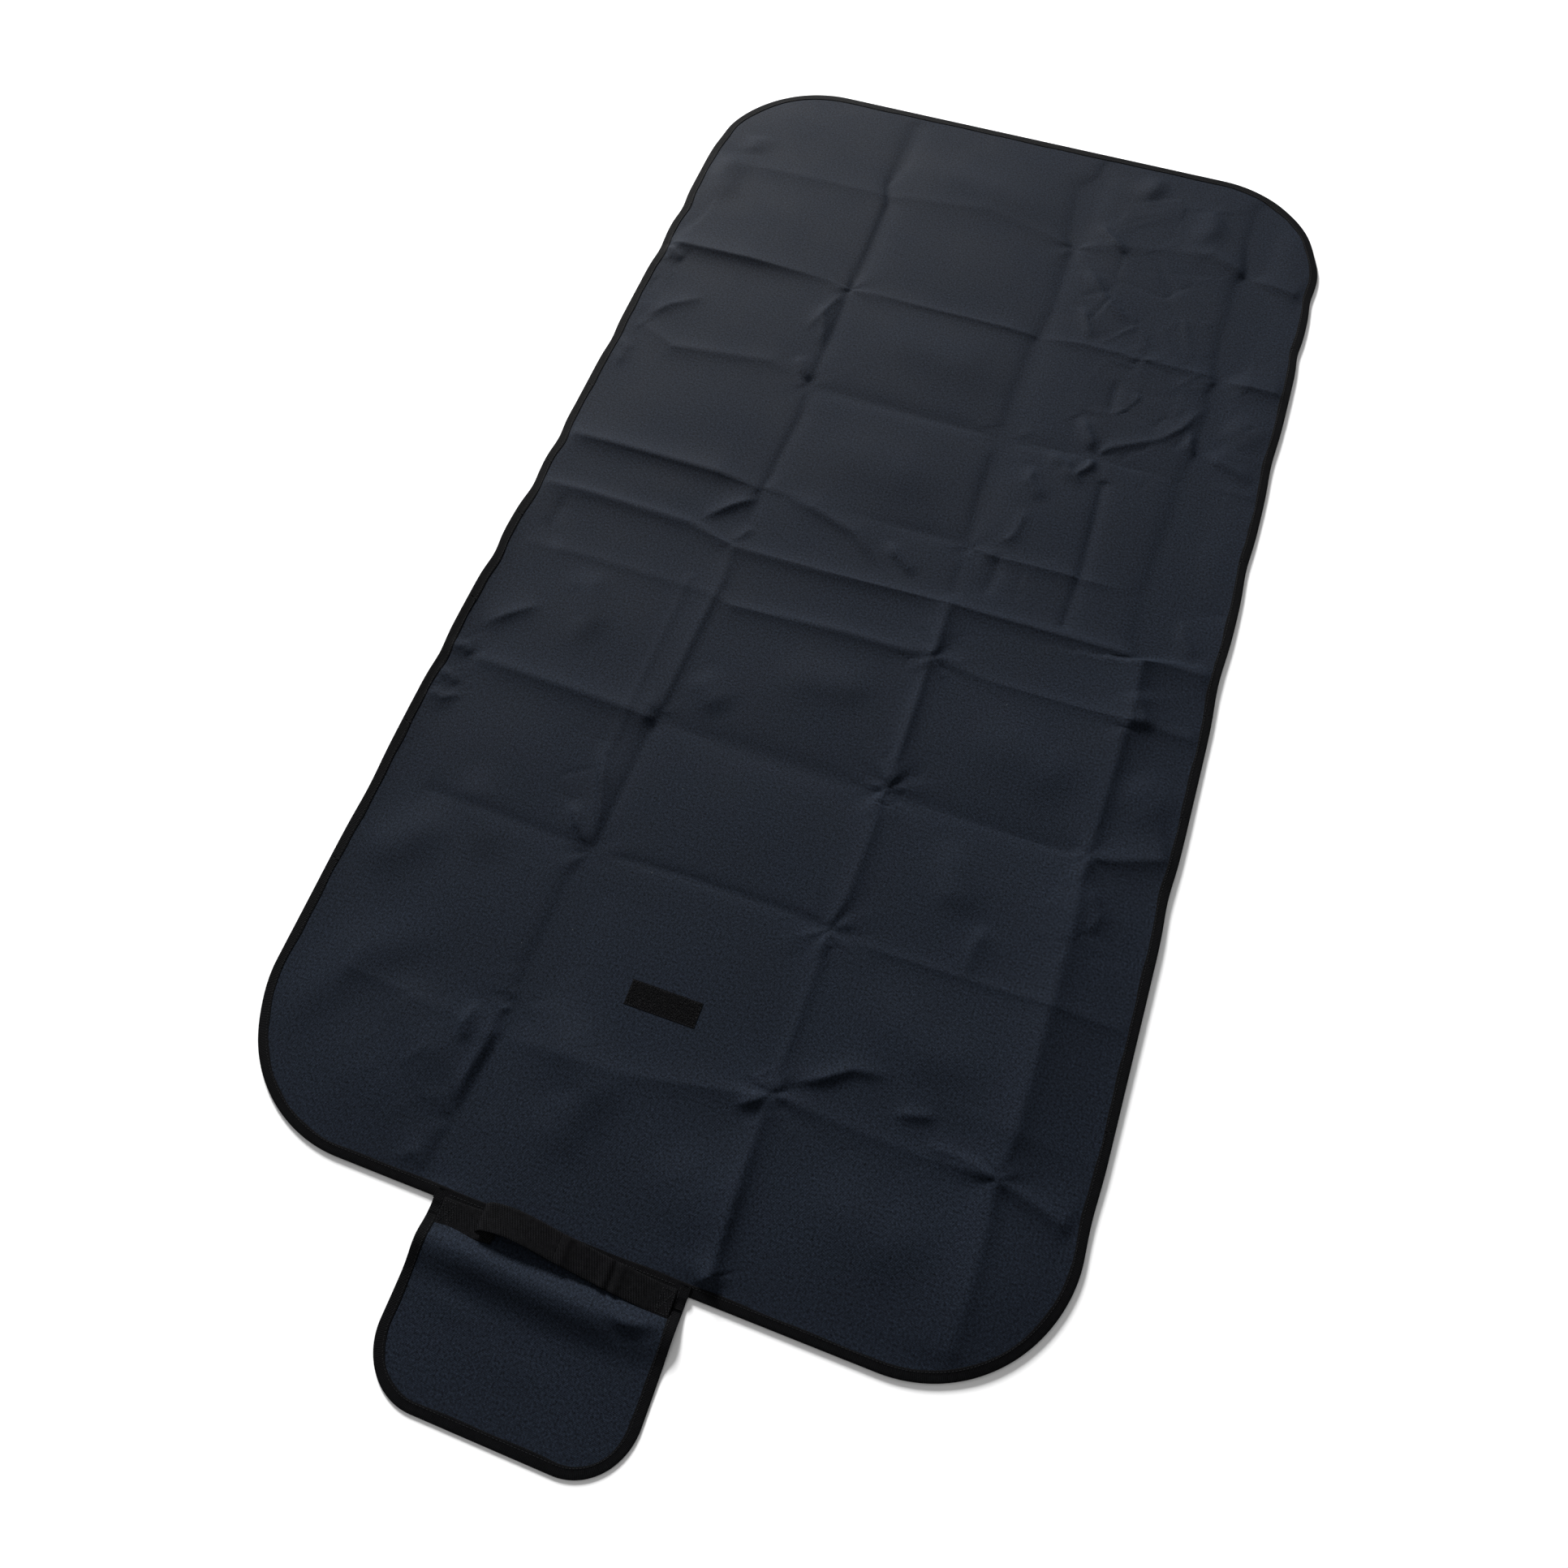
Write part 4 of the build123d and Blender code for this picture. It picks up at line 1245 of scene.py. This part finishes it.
def flap_height(x, y):
    """Underside of the flap over the floor, in metres."""
    x, y = np.broadcast_arrays(np.asarray(x, float), np.asarray(y, float))
    out = (x - flap_centre) / flap_half
    sway = 4 * mm * np.sin(2.4 * out + 0.6) - 3 * mm * out
    z = smooth_curve(flap_profile, np.clip(y + sway, -0.9, -0.72))[..., 0]
    ridge = 1.0 - 0.35 * smooth_step((np.abs(out) - 0.55) / 0.45) - 0.1 * out
    z = flap_least + (z - flap_least) * np.where(z > flap_least, ridge, 1.0)
    for height, at_x, at_y, wide, long, bend_x, bow, slope in flap_wrinkles:
        off_line = y - at_y - bow * (x - bend_x) ** 2 + slope * (x - bend_x)
        z += height * np.exp(-((x - at_x) / wide) ** 2 - (off_line / long) ** 2)
    on_mat = smooth_step((y - flap_leaves) / flap_leaving)
    base = cloth_height(x, np.maximum(y, -half_length + 1 * mm)) + flap_on_mat
    return np.maximum(z * (1 - on_mat) + base * on_mat, 0.0)


print("flap", round(2 * flap_half / mm), "by", round((flap_start - flap_end) / mm), "mm")

# %% [markdown]
# The flap's cloth needs a grid like the mat's, and its binding needs a path round three sides.
# Both are cut at the same place, midway between the flap's two bends.

# %% Grid and outline of the flap
def flap_grid(step, inset):
    """Points and upward normals of the flap's underside, and the row where it is cut."""
    turn_y = flap_end + flap_corner
    cut = int((flap_start - flap_cut) / step)
    y = np.concatenate([np.linspace(flap_start, flap_cut, cut + 1),
                        np.linspace(flap_cut, turn_y, int((flap_cut - turn_y) / step) + 1)[1:]])
    angles = np.linspace(0, math.pi / 2, int(flap_corner / step * 1.3))[1:]
    radius = flap_corner - inset
    wide = np.concatenate([np.full(len(y), flap_half - inset),
                           flap_half - flap_corner + radius * np.cos(angles)])
    y = np.concatenate([y, turn_y - radius * np.sin(angles)])
    across = np.linspace(-1, 1, int(2 * flap_half / step) + 1)
    x = flap_centre + across[None, :] * wide[:, None]
    y = np.repeat(y[:, None], len(across), axis=1)
    points = np.stack([x, y, flap_height(x, y)], axis=2)[::-1]
    return points, upward_normals(points), len(points) - 1 - cut


def flap_path(step):
    """Outline of the flap from its left seam round to its right seam."""
    turn_y = flap_end + flap_corner
    y = np.linspace(flap_start, turn_y, int((flap_start - turn_y) / step) + 1)
    angles = np.linspace(0, math.pi / 2, int(flap_corner * math.pi / 2 / step) + 1)[1:]
    side = np.stack([np.full(len(y), -flap_half), y], axis=1)
    out = np.stack([-np.cos(angles), -np.sin(angles)], axis=1)
    turn = (-(flap_half - flap_corner), turn_y) + flap_corner * out
    x = np.linspace(turn[-1, 0], 0, int(-turn[-1, 0] / step) + 1)[1:]
    end = np.stack([x, np.full(len(x), flap_end)], axis=1)
    at = np.concatenate([side, turn, end])
    inward = np.concatenate([np.repeat([[1.0, 0.0]], len(side), 0), -out,
                             np.repeat([[0.0, 1.0]], len(end), 0)])
    at = np.concatenate([at, at[::-1][1:] * (-1, 1)]) + (flap_centre, 0)
    inward = np.concatenate([inward, inward[::-1][1:] * (-1, 1)])
    return at, inward


def path_part(at, inward, keep):
    """The stretches of a path where keep is true, with their lengths."""
    stretches = []
    change = np.flatnonzero(np.diff(keep.astype(int))) + 1
    for part in np.split(np.arange(len(at)), change):
        if keep[part[0]] and len(part) > 2:
            run = np.linalg.norm(np.diff(at[part], axis=0), axis=1)
            stretches.append((at[part], inward[part], np.concatenate([[0], np.cumsum(run)])))
    return stretches


def bend_flap(piece):
    """Bakes the piece's place into its points."""
    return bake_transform(piece)


print("the flap's outline has", len(flap_path(10 * mm)[0]), "points at 10 mm")

# %% [markdown]
# The flap is cut once, at the middle between its two bends. The short upper part goes from the
# mat over its edge. The long lower part is the flap.

# %% Cloth and lining of the flap
points, normals, cut = flap_grid(2.5 * mm, 0.4 * mm)
upper, lower = slice(cut, None), slice(0, cut + 1)
for layer, low, high, material, slot in (("flap_lining", 0.27, 0.55, taffeta, "lining_cloth"),
                                         ("flap_cloth", 0.60, 0.92, oxford, "outer_cloth")):
    for is_lower, part, word in ((False, upper, "upper"), (True, lower, "lower")):
        piece = cloth_layer(f"{layer}_{word}", points[part], normals[part], low * mm, high * mm,
                            material)
        bend_flap(piece)
        if is_lower:
            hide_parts(layer)
        elif layer == "flap_cloth":
            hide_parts("flap_root_cloth", "flap_seam_strip")
        else:
            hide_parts("flap_root_lining")
print("flap", points.shape[:2], "points, highest", round(float(points[..., 2].max()) / mm, 1), "mm")

# %% [markdown]
# The flap has the same kind of binding as the mat, thinner because it goes over two cloths and
# no foam.

# %% Binding and stitches of the flap
flap_loop = [(10.0, 1.14), (8.6, 1.20), (7.8, 1.12), (5.0, 1.34), (2.0, 1.34), (0.7, 1.24),
             (0.10, 1.00), (-0.10, 0.66), (0.10, 0.32), (0.7, 0.04), (2.0, 0.0), (6.0, 0.0),
             (10.0, 0.0), (10.0, 0.25), (6.0, 0.25), (0.8, 0.28), (0.34, 0.62), (0.8, 0.95),
             (6.0, 0.96), (10.0, 0.94)]
flap_tape_top = 1.20 * mm
at, inward = flap_path(2 * mm)
for is_lower, word in ((False, "upper"), (True, "lower")):
    keep = at[:, 1] <= flap_cut + 1.1 * mm if is_lower else at[:, 1] >= flap_cut - 1.1 * mm
    paths = path_part(at, inward, keep)
    tape_points, faces, flat = sweep_tape(paths, flap_loop, flap_height)
    piece = make_piece(f"flap_binding_{word}", tape_points, faces, flat, grosgrain)
    bend_flap(piece)
    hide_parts("flap_binding" if is_lower else "flap_root_binding")
    bars = seam_bars(paths, seam_inset, flap_tape_top, 0.0, flap_height)
    seam = make_stitches(f"flap_stitches_{word}", bars)
    bend_flap(seam)
print("flap binding", len(tape_points), "points in its lower part")

# %% [markdown]
# The raw end of the flap is covered by a strip of tape and sewn down with one row of stitches.

# %% Strip and seam at the root of the flap
x, y = np.meshgrid(np.linspace(-157.5, 87.5, 99) * mm, np.linspace(-735.2, -724.8, 7) * mm)
step_down = smooth_step((y - flap_start) / mm) * 0.9 * mm
root = np.stack([x, y, flap_height(x, np.minimum(y, flap_start)) - step_down], 2)
upright = np.zeros(root.shape) + (0.0, 0.0, 1.0)
over_root = cloth_layer("flap_root_tape", root, upright, 0.98 * mm, 1.32 * mm, grosgrain)
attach(over_root, "row_1")
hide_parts("flap_seam_strip")

seam_y = flap_start - 2.5 * mm
seam_half = flap_half - 10 * mm
ends = np.array([[flap_centre - seam_half, seam_y], [flap_centre + seam_half, seam_y]])
across = [(ends, np.array([[0.0, 1.0]] * 2), np.array([0.0, ends[1, 0] - ends[0, 0]]))]
bars = seam_bars(across, 0.0, 1.36 * mm, 0.4 * mm, flap_height)
seam = make_stitches("flap_seam_stitches_row", bars)
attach(seam, "row_1")
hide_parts("flap_seam_stitches")
print("root seam", round(2 * seam_half / mm), "mm long")

# %% [markdown]
# The handle is a band of webbing sewn down at both ends. It lies slack, with one kink where it
# folded over itself. Its middle line is a smooth curve through listed places, and a flat
# cross-section with rounded edges follows it. The width of the band stays level except for a
# small roll, so that its edges stay clear of the flap under it.

# %% Middle line and section of the webbing
# x, y, height over the floor, and roll in degrees (lengths in mm)
strap_places = [(-147, -743.5, 4.7, 0), (-133, -743.5, 4.8, 0), (-118, -743, 5.4, 2),
                (-104, -742, 6.2, 4), (-95, -741, 6.9, 4), (-91.5, -740, 7.9, 2), (-95, -738.5, 9.1, 0),
                (-102, -737, 10.0, 0), (-107.5, -736, 11.4, 0), (-105, -734, 13.2, 1),
                (-96, -732, 14.4, 4), (-84, -731, 14.6, 8), (-70, -731.5, 13.6, 9),
                (-50, -733.5, 11.2, 7), (-34, -735.5, 9.6, 5), (-27, -736, 10.0, 3), (-22, -736.5, 8.6, 2),
                (-8, -738, 7.6, 0), (8, -739.5, 7.2, 0), (15, -740, 8.3, 0), (19, -740.5, 6.7, 0),
                (25, -741, 7.7, 0), (31, -741.5, 6.2, 0), (45, -742.5, 5.6, 0), (63, -743.5, 4.8, 0),
                (77, -743.5, 4.7, 0)]
strap_places = np.array(strap_places, float)
run = np.linalg.norm(np.diff(strap_places[:, :3], axis=0), axis=1)
strap_stations = np.column_stack([np.concatenate([[0], np.cumsum(run)]), strap_places])
strap_at = np.arange(0, strap_stations[-1, 0] + 0.5, 1.0)
strap_at[-1] = strap_stations[-1, 0]
strap_line = smooth_curve(strap_stations, strap_at)
strap_line[:, :3] *= mm
band_half = 12.5 * mm
band_half_thick = 0.6 * mm
edge_round = 0.5 * mm
edge_turn = np.linspace(-math.pi / 2, math.pi / 2, 5)
band_edge = np.stack([band_half - edge_round + edge_round * np.cos(edge_turn),
                      band_half_thick * np.sin(edge_turn)], axis=1)
face = np.linspace(band_half - 2.5 * mm, -(band_half - 2.5 * mm), 9)
band_section = np.concatenate([band_edge, np.stack([face, np.full(9, band_half_thick)], 1),
                               band_edge[::-1] * (-1, 1),
                               np.stack([face[::-1], np.full(9, -band_half_thick)], 1)])
print("webbing", round(float(strap_at[-1])), "mm long,", len(strap_line), "places")

# %% [markdown]
# The handle is sewn down at its ends and lifts in the middle. It is made as two pieces that
# meet near its middle, each with its place baked in.

# %% The two halves of the webbing
def band_frame(line):
    """Directions across and out of the webbing at each point of its middle line."""
    along = np.gradient(line[:, :3], axis=0)
    along /= np.linalg.norm(along, axis=1)[:, None]
    across = np.zeros(along.shape) + (0.0, 1.0, 0.0)
    up = np.cross(along, across)
    up /= np.linalg.norm(up, axis=1)[:, None]
    roll = np.radians(line[:, 3])[:, None]
    return across * np.cos(roll) - up * np.sin(roll), up * np.cos(roll) + across * np.sin(roll)


def make_band(name, line, lengths):
    """A piece of webbing along a line, closed at both ends."""
    across, up = band_frame(line)
    section = band_section[None]
    points = line[:, None, :3] + across[:, None] * section[..., :1] + up[:, None] * section[..., 1:]
    rows, columns = len(line), len(band_section)
    flat = np.stack(np.broadcast_arrays(lengths[:, None], section[..., 0]), -1)
    low, high = list(range(columns))[::-1], list(range((rows - 1) * columns, rows * columns))
    faces = tube_faces(rows, columns) + [low, high]
    piece = make_piece(name, points, faces, flat, webbing)
    return piece


half_way = int(np.argmin(np.abs(strap_line[:, 0] + 34 * mm) + (strap_at < 120)))
for name, part, start_x, end_x in (("webbing_left", slice(0, half_way + 1), -133, -60),
                                   ("webbing_right", slice(half_way, None), 63, -10)):
    piece = make_band(name, strap_line[part], strap_at[part] * mm)
    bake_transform(piece)
    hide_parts("handle_webbing", "handle_ends")
    print(name, "has", len(piece.data.polygons), "faces")

# %% [markdown]
# Each end of the handle is sewn down with a box of stitches and a cross in it, so that a pull
# in any direction is shared by many stitches.

# %% Bartacks
tack_long, tack_high = 11 * mm, 5.36 * mm
tack_near, tack_far = -753.5 * mm, -733.5 * mm


def bars_between(pairs, height, first, spare, pitch, length, up=1.0, radius=thread_radius):
    """Stitches along straight lines between pairs of plan points, at a height(x, y)."""
    starts, ends = [], []
    for a, b in pairs:
        reach = np.linalg.norm(b - a)
        along = (b - a) / reach
        for s in np.arange(first, reach - spare, pitch):
            p, q = a + along * s, a + along * (s + length)
            starts.append((*p, float(height(*p))))
            ends.append((*q, float(height(*q))))
    return stitch_bars(starts, ends, np.repeat([[0.0, 0.0, up]], len(starts), axis=0), radius)


def tack_top(x, y):
    """The upper face of the webbing where it is sewn down is level."""
    return tack_high


for name, x0 in (("bartack_left", -145.5 * mm), ("bartack_right", 64.5 * mm)):
    x1 = x0 + tack_long
    box = np.array([(x0, tack_near), (x1, tack_near), (x1, tack_far), (x0, tack_far)])
    pairs = [(box[a], box[b]) for a, b in ((0, 1), (1, 2), (2, 3), (3, 0), (0, 2), (1, 3))]
    bars = bars_between(pairs, tack_top, 0.2 * mm, 1.7 * mm, 2.3 * mm, 1.7 * mm)
    tack = make_stitches(name, bars)
    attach(tack, "flap_spine")
    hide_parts("handle_bartacks")
    print(name, "has", len(bars[0]) // stitch_points, "stitches")

# %% [markdown]
# Loop tape on the mat and hook tape under the flap hold the folded pack shut. Both have a woven
# base. One carries a felt of small loops, the other rows of stiff hooks, and every one is made.

# %% Helpers for closure tapes
tape_half = np.array([36 * mm, 12.5 * mm])
base_columns, base_rows = 25, 11


def tape_base(name, centre, height, thick, material, body, flip=1):
    """A woven strip that follows a height; flip = -1 hangs it under the height."""
    x = centre[0] + np.linspace(-1, 1, base_columns) * tape_half[0]
    y = centre[1] + np.linspace(-1, 1, base_rows) * tape_half[1]
    x, y = np.meshgrid(x, y)
    points = np.stack([x, y, height(x, y)], axis=2)
    normals = np.zeros(points.shape) + (0.0, 0.0, 1.0)
    low, high = (0.0, thick) if flip > 0 else (-thick, 0.0)
    piece = cloth_layer(name, points, normals, low, high, material)
    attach(piece, body)
    return piece


def curl(base, lean, width, rise, steps, turn_to):
    """Middle lines of many loops or hooks: each leans sideways and curls over."""
    t = np.linspace(0, turn_to, steps)[None, :, None]
    side = lean[:, None, :] * (width[:, None, None] * (1 - np.cos(t)) / 2)
    up = np.zeros((len(base), steps, 3))
    up[..., 2] = rise[:, None] * np.sin(np.minimum(t[..., 0], math.pi))
    return base[:, None, :] + side + up


def hair_mesh(name, lines, radius, material):
    """Thin three-sided hairs along many middle lines, as one piece."""
    count, steps = lines.shape[:2]
    along = np.gradient(lines, axis=1)
    along /= np.linalg.norm(along, axis=2)[..., None]
    across = np.cross(along, (0.31, 0.95, 0.05))
    across /= np.linalg.norm(across, axis=2)[..., None]
    up = np.cross(along, across)
    rings = [lines + radius * (across * math.cos(a) + up * math.sin(a)) for a in (0.0, 2.09, 4.19)]
    points = np.stack(rings, axis=2).reshape(-1, 3)
    one = tube_faces(steps, 3) + [(2, 1, 0), (steps * 3 - 3, steps * 3 - 2, steps * 3 - 1)]
    faces = [tuple(v + i * steps * 3 for v in f) for i in range(count) for f in one]
    return make_piece(name, points, faces, points[:, :2], material)


def tape_seam(name, centre, height, lift, body, up, *nodes):
    """Stitches just inside the edge of a closure tape."""
    corners = np.array([(-1, -1), (1, -1), (1, 1), (-1, 1), (-1, -1)])
    corners = corners * (tape_half - 1.3 * mm) + centre

    def lifted(x, y):
        return height(x, y) + lift

    bars = bars_between(zip(corners[:-1], corners[1:]), lifted, 0.3 * mm, 2 * mm, 2.9 * mm,
                        2.1 * mm, up, 0.17 * mm)
    seam = make_stitches(name, bars)
    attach(seam, body)
    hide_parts(*nodes)


print("closure tape", *(np.round(2 * tape_half / mm, 1)), "mm")

# %% [markdown]
# The loop side is a felt. Loops stand in rows, but their places, sizes and the way they lean
# are scattered with a fixed seed, so it looks fuzzy and still comes out the same each time.

# %% Loop tape on the mat
rng = np.random.default_rng(7)
loop_centre = np.array([-28 * mm, -506 * mm])


def on_cloth(x, y):
    """Upper face of the outer cloth."""
    return cloth_height(x, y) + face_high.z


base = tape_base("loop_tape_base", loop_centre, on_cloth, 0.32 * mm, grosgrain, "row_2")
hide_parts("loop_tape")
rows, columns = 17, 62
gx = np.linspace(-34.6, 34.6, columns) * mm
gy = np.linspace(-9.4, 11.6, rows) * mm
gx, gy = np.meshgrid(gx, gy)
gx = loop_centre[0] + gx + rng.normal(0, 0.25, gx.shape) * mm
gy = loop_centre[1] + gy + rng.normal(0, 0.3, gy.shape) * mm
roots = np.stack([gx, gy, on_cloth(gx, gy) + 0.28 * mm], axis=2).reshape(-1, 3)
turned = rng.uniform(0, 2 * math.pi, len(roots))
lean = np.stack([np.cos(turned), np.sin(turned), 0 * turned], axis=1)
loop_width = rng.uniform(0.9, 2.0, len(roots)) * mm
loop_rise = rng.uniform(0.45, 0.95, len(roots)) * mm
lines = curl(roots, lean, loop_width, loop_rise, 7, math.pi)
felt = hair_mesh("loop_pile", lines, 0.13 * mm, pile)
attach(felt, "row_2")
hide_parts("loop_tape")
tape_seam("loop_tape_seam", loop_centre, on_cloth, 0.36 * mm, "row_2", 1.0, "loop_tape_stitches")
print("loop tape has", len(roots), "loops")

# %% [markdown]
# The hook side hangs under the free end of the flap. Its hooks stand in straight rows and lean
# left and right by turns, because moulded or cut hooks are regular where loops are not.

# %% Hook tape under the flap
hook_centre = np.array([flap_centre, flap_end + 22.5 * mm])


def under_flap(x, y):
    """Lower face of the flap's lining, where the tape is sewn on."""
    return flap_height(x, y) + 0.28 * mm


base = tape_base("hook_tape_base", hook_centre, under_flap, 0.30 * mm, grosgrain, "flap_panel",
                 -1)
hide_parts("hook_tape")
gx, gy = np.meshgrid(np.linspace(-34, 34, 48) * mm, np.linspace(-10.5, 10.5, 14) * mm)
gx, gy = hook_centre[0] + gx, hook_centre[1] + gy
roots = np.stack([gx, gy, under_flap(gx, gy) - 0.28 * mm], axis=2).reshape(-1, 3)
by_turns = np.where(np.arange(len(roots)) % 2, 1, -1)[:, None]
lean = np.repeat([[1.0, 0.0, 0.0]], len(roots), axis=0) * by_turns
hook_width, hook_rise = np.full(len(roots), 0.75 * mm), np.full(len(roots), -0.62 * mm)
lines = curl(roots, lean, hook_width, hook_rise, 7, 2.6)
teeth = hair_mesh("hook_field", lines, 0.10 * mm, hooks)
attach(teeth, "flap_panel")
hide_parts("hook_tape")
tape_seam("hook_tape_seam", hook_centre, under_flap, -0.34 * mm, "flap_panel", -1.0,
          "hook_tape_stitches")
print("hook tape has", len(roots), "hooks")

# %% [markdown]
# The mat lies on a plain pale floor. The floor is a stage, so it isn't part of the object.

# %% Floor
floor_half = 6.0
corners = [(-floor_half, -floor_half, 0), (floor_half, -floor_half, 0),
           (floor_half, floor_half, 0), (-floor_half, floor_half, 0)]
mesh = bpy.data.meshes.new("floor")
mesh.from_pydata(corners, [], [(0, 1, 2, 3)])
floor = bpy.data.objects.new("floor", mesh)
bpy.context.scene.collection.objects.link(floor)
paper = bpy.data.materials.new("pale_floor")
paper.use_nodes = True
paper_shader = paper.node_tree.nodes["Principled BSDF"]
paper_shader.inputs["Base Color"].default_value = (0.92, 0.92, 0.92, 1)
paper_shader.inputs["Roughness"].default_value = 0.9
mesh.materials.append(paper)
print("floor", 2 * floor_half, "m wide")

# %% [markdown]
# Dark cloth shows its creases only in light that comes from low on one side, so most of the
# light is one lamp far off, beyond the left of the far end. A weak lamp overhead and a little
# sky keep the shaded flanks readable.

# %% Lamps and sky
def soft_light(name, place, target, size, power):
    """A square lamp that faces a target."""
    lamp = bpy.data.lights.new(name, "AREA")
    lamp.size = size
    lamp.energy = power
    holder = bpy.data.objects.new(name, lamp)
    bpy.context.scene.collection.objects.link(holder)
    holder.location = place
    holder.rotation_mode = "QUATERNION"
    holder.rotation_quaternion = (Vector(target) - Vector(place)).to_track_quat("-Z", "Y")


soft_light("window_far_left", (-4.6, 6.0, 3.5), (0, 0.1, 0), 2.0, 1700)
soft_light("overhead_fill", (-0.3, 0.6, 3.2), (0, 0, 0), 2.6, 16)

world = bpy.data.worlds.new("studio")
bpy.context.scene.world = world
world.use_nodes = True
sky = world.node_tree.nodes["Background"]
sky.inputs["Color"].default_value = (1, 1, 1, 1)
# the sky looks white, but lights the mat with a quarter of that
sky_light = 0.25
seen = world.node_tree.nodes.new("ShaderNodeLightPath").outputs["Is Camera Ray"]
strength = calc(world.node_tree, "MULTIPLY_ADD", seen, 1 - sky_light, sky_light)
world.node_tree.links.new(strength, sky.inputs["Strength"])
bpy.context.scene.view_settings.view_transform = "Standard"
print("lamps", [lamp.name for lamp in bpy.data.lights])

# %% [markdown]
# The camera stands over the near end of the mat, tipped down and turned a little to one side,
# with a wide lens, so the far end looks clearly smaller than the near one.

# %% Camera
camera_data = bpy.data.cameras.new("camera")
camera_data.lens = 26.0
camera_data.sensor_width = 36.0
camera = bpy.data.objects.new("camera", camera_data)
bpy.context.scene.collection.objects.link(camera)
camera.location = (0.1806, mat_y - 0.6697, 1.0714)
camera.rotation_mode = "XYZ"
camera.rotation_euler = [math.radians(a) for a in (22.83, 1.445, 19.72)]
bpy.context.scene.camera = camera
print("camera", camera_data.lens, "mm, at", [round(v, 2) for v in camera.location])
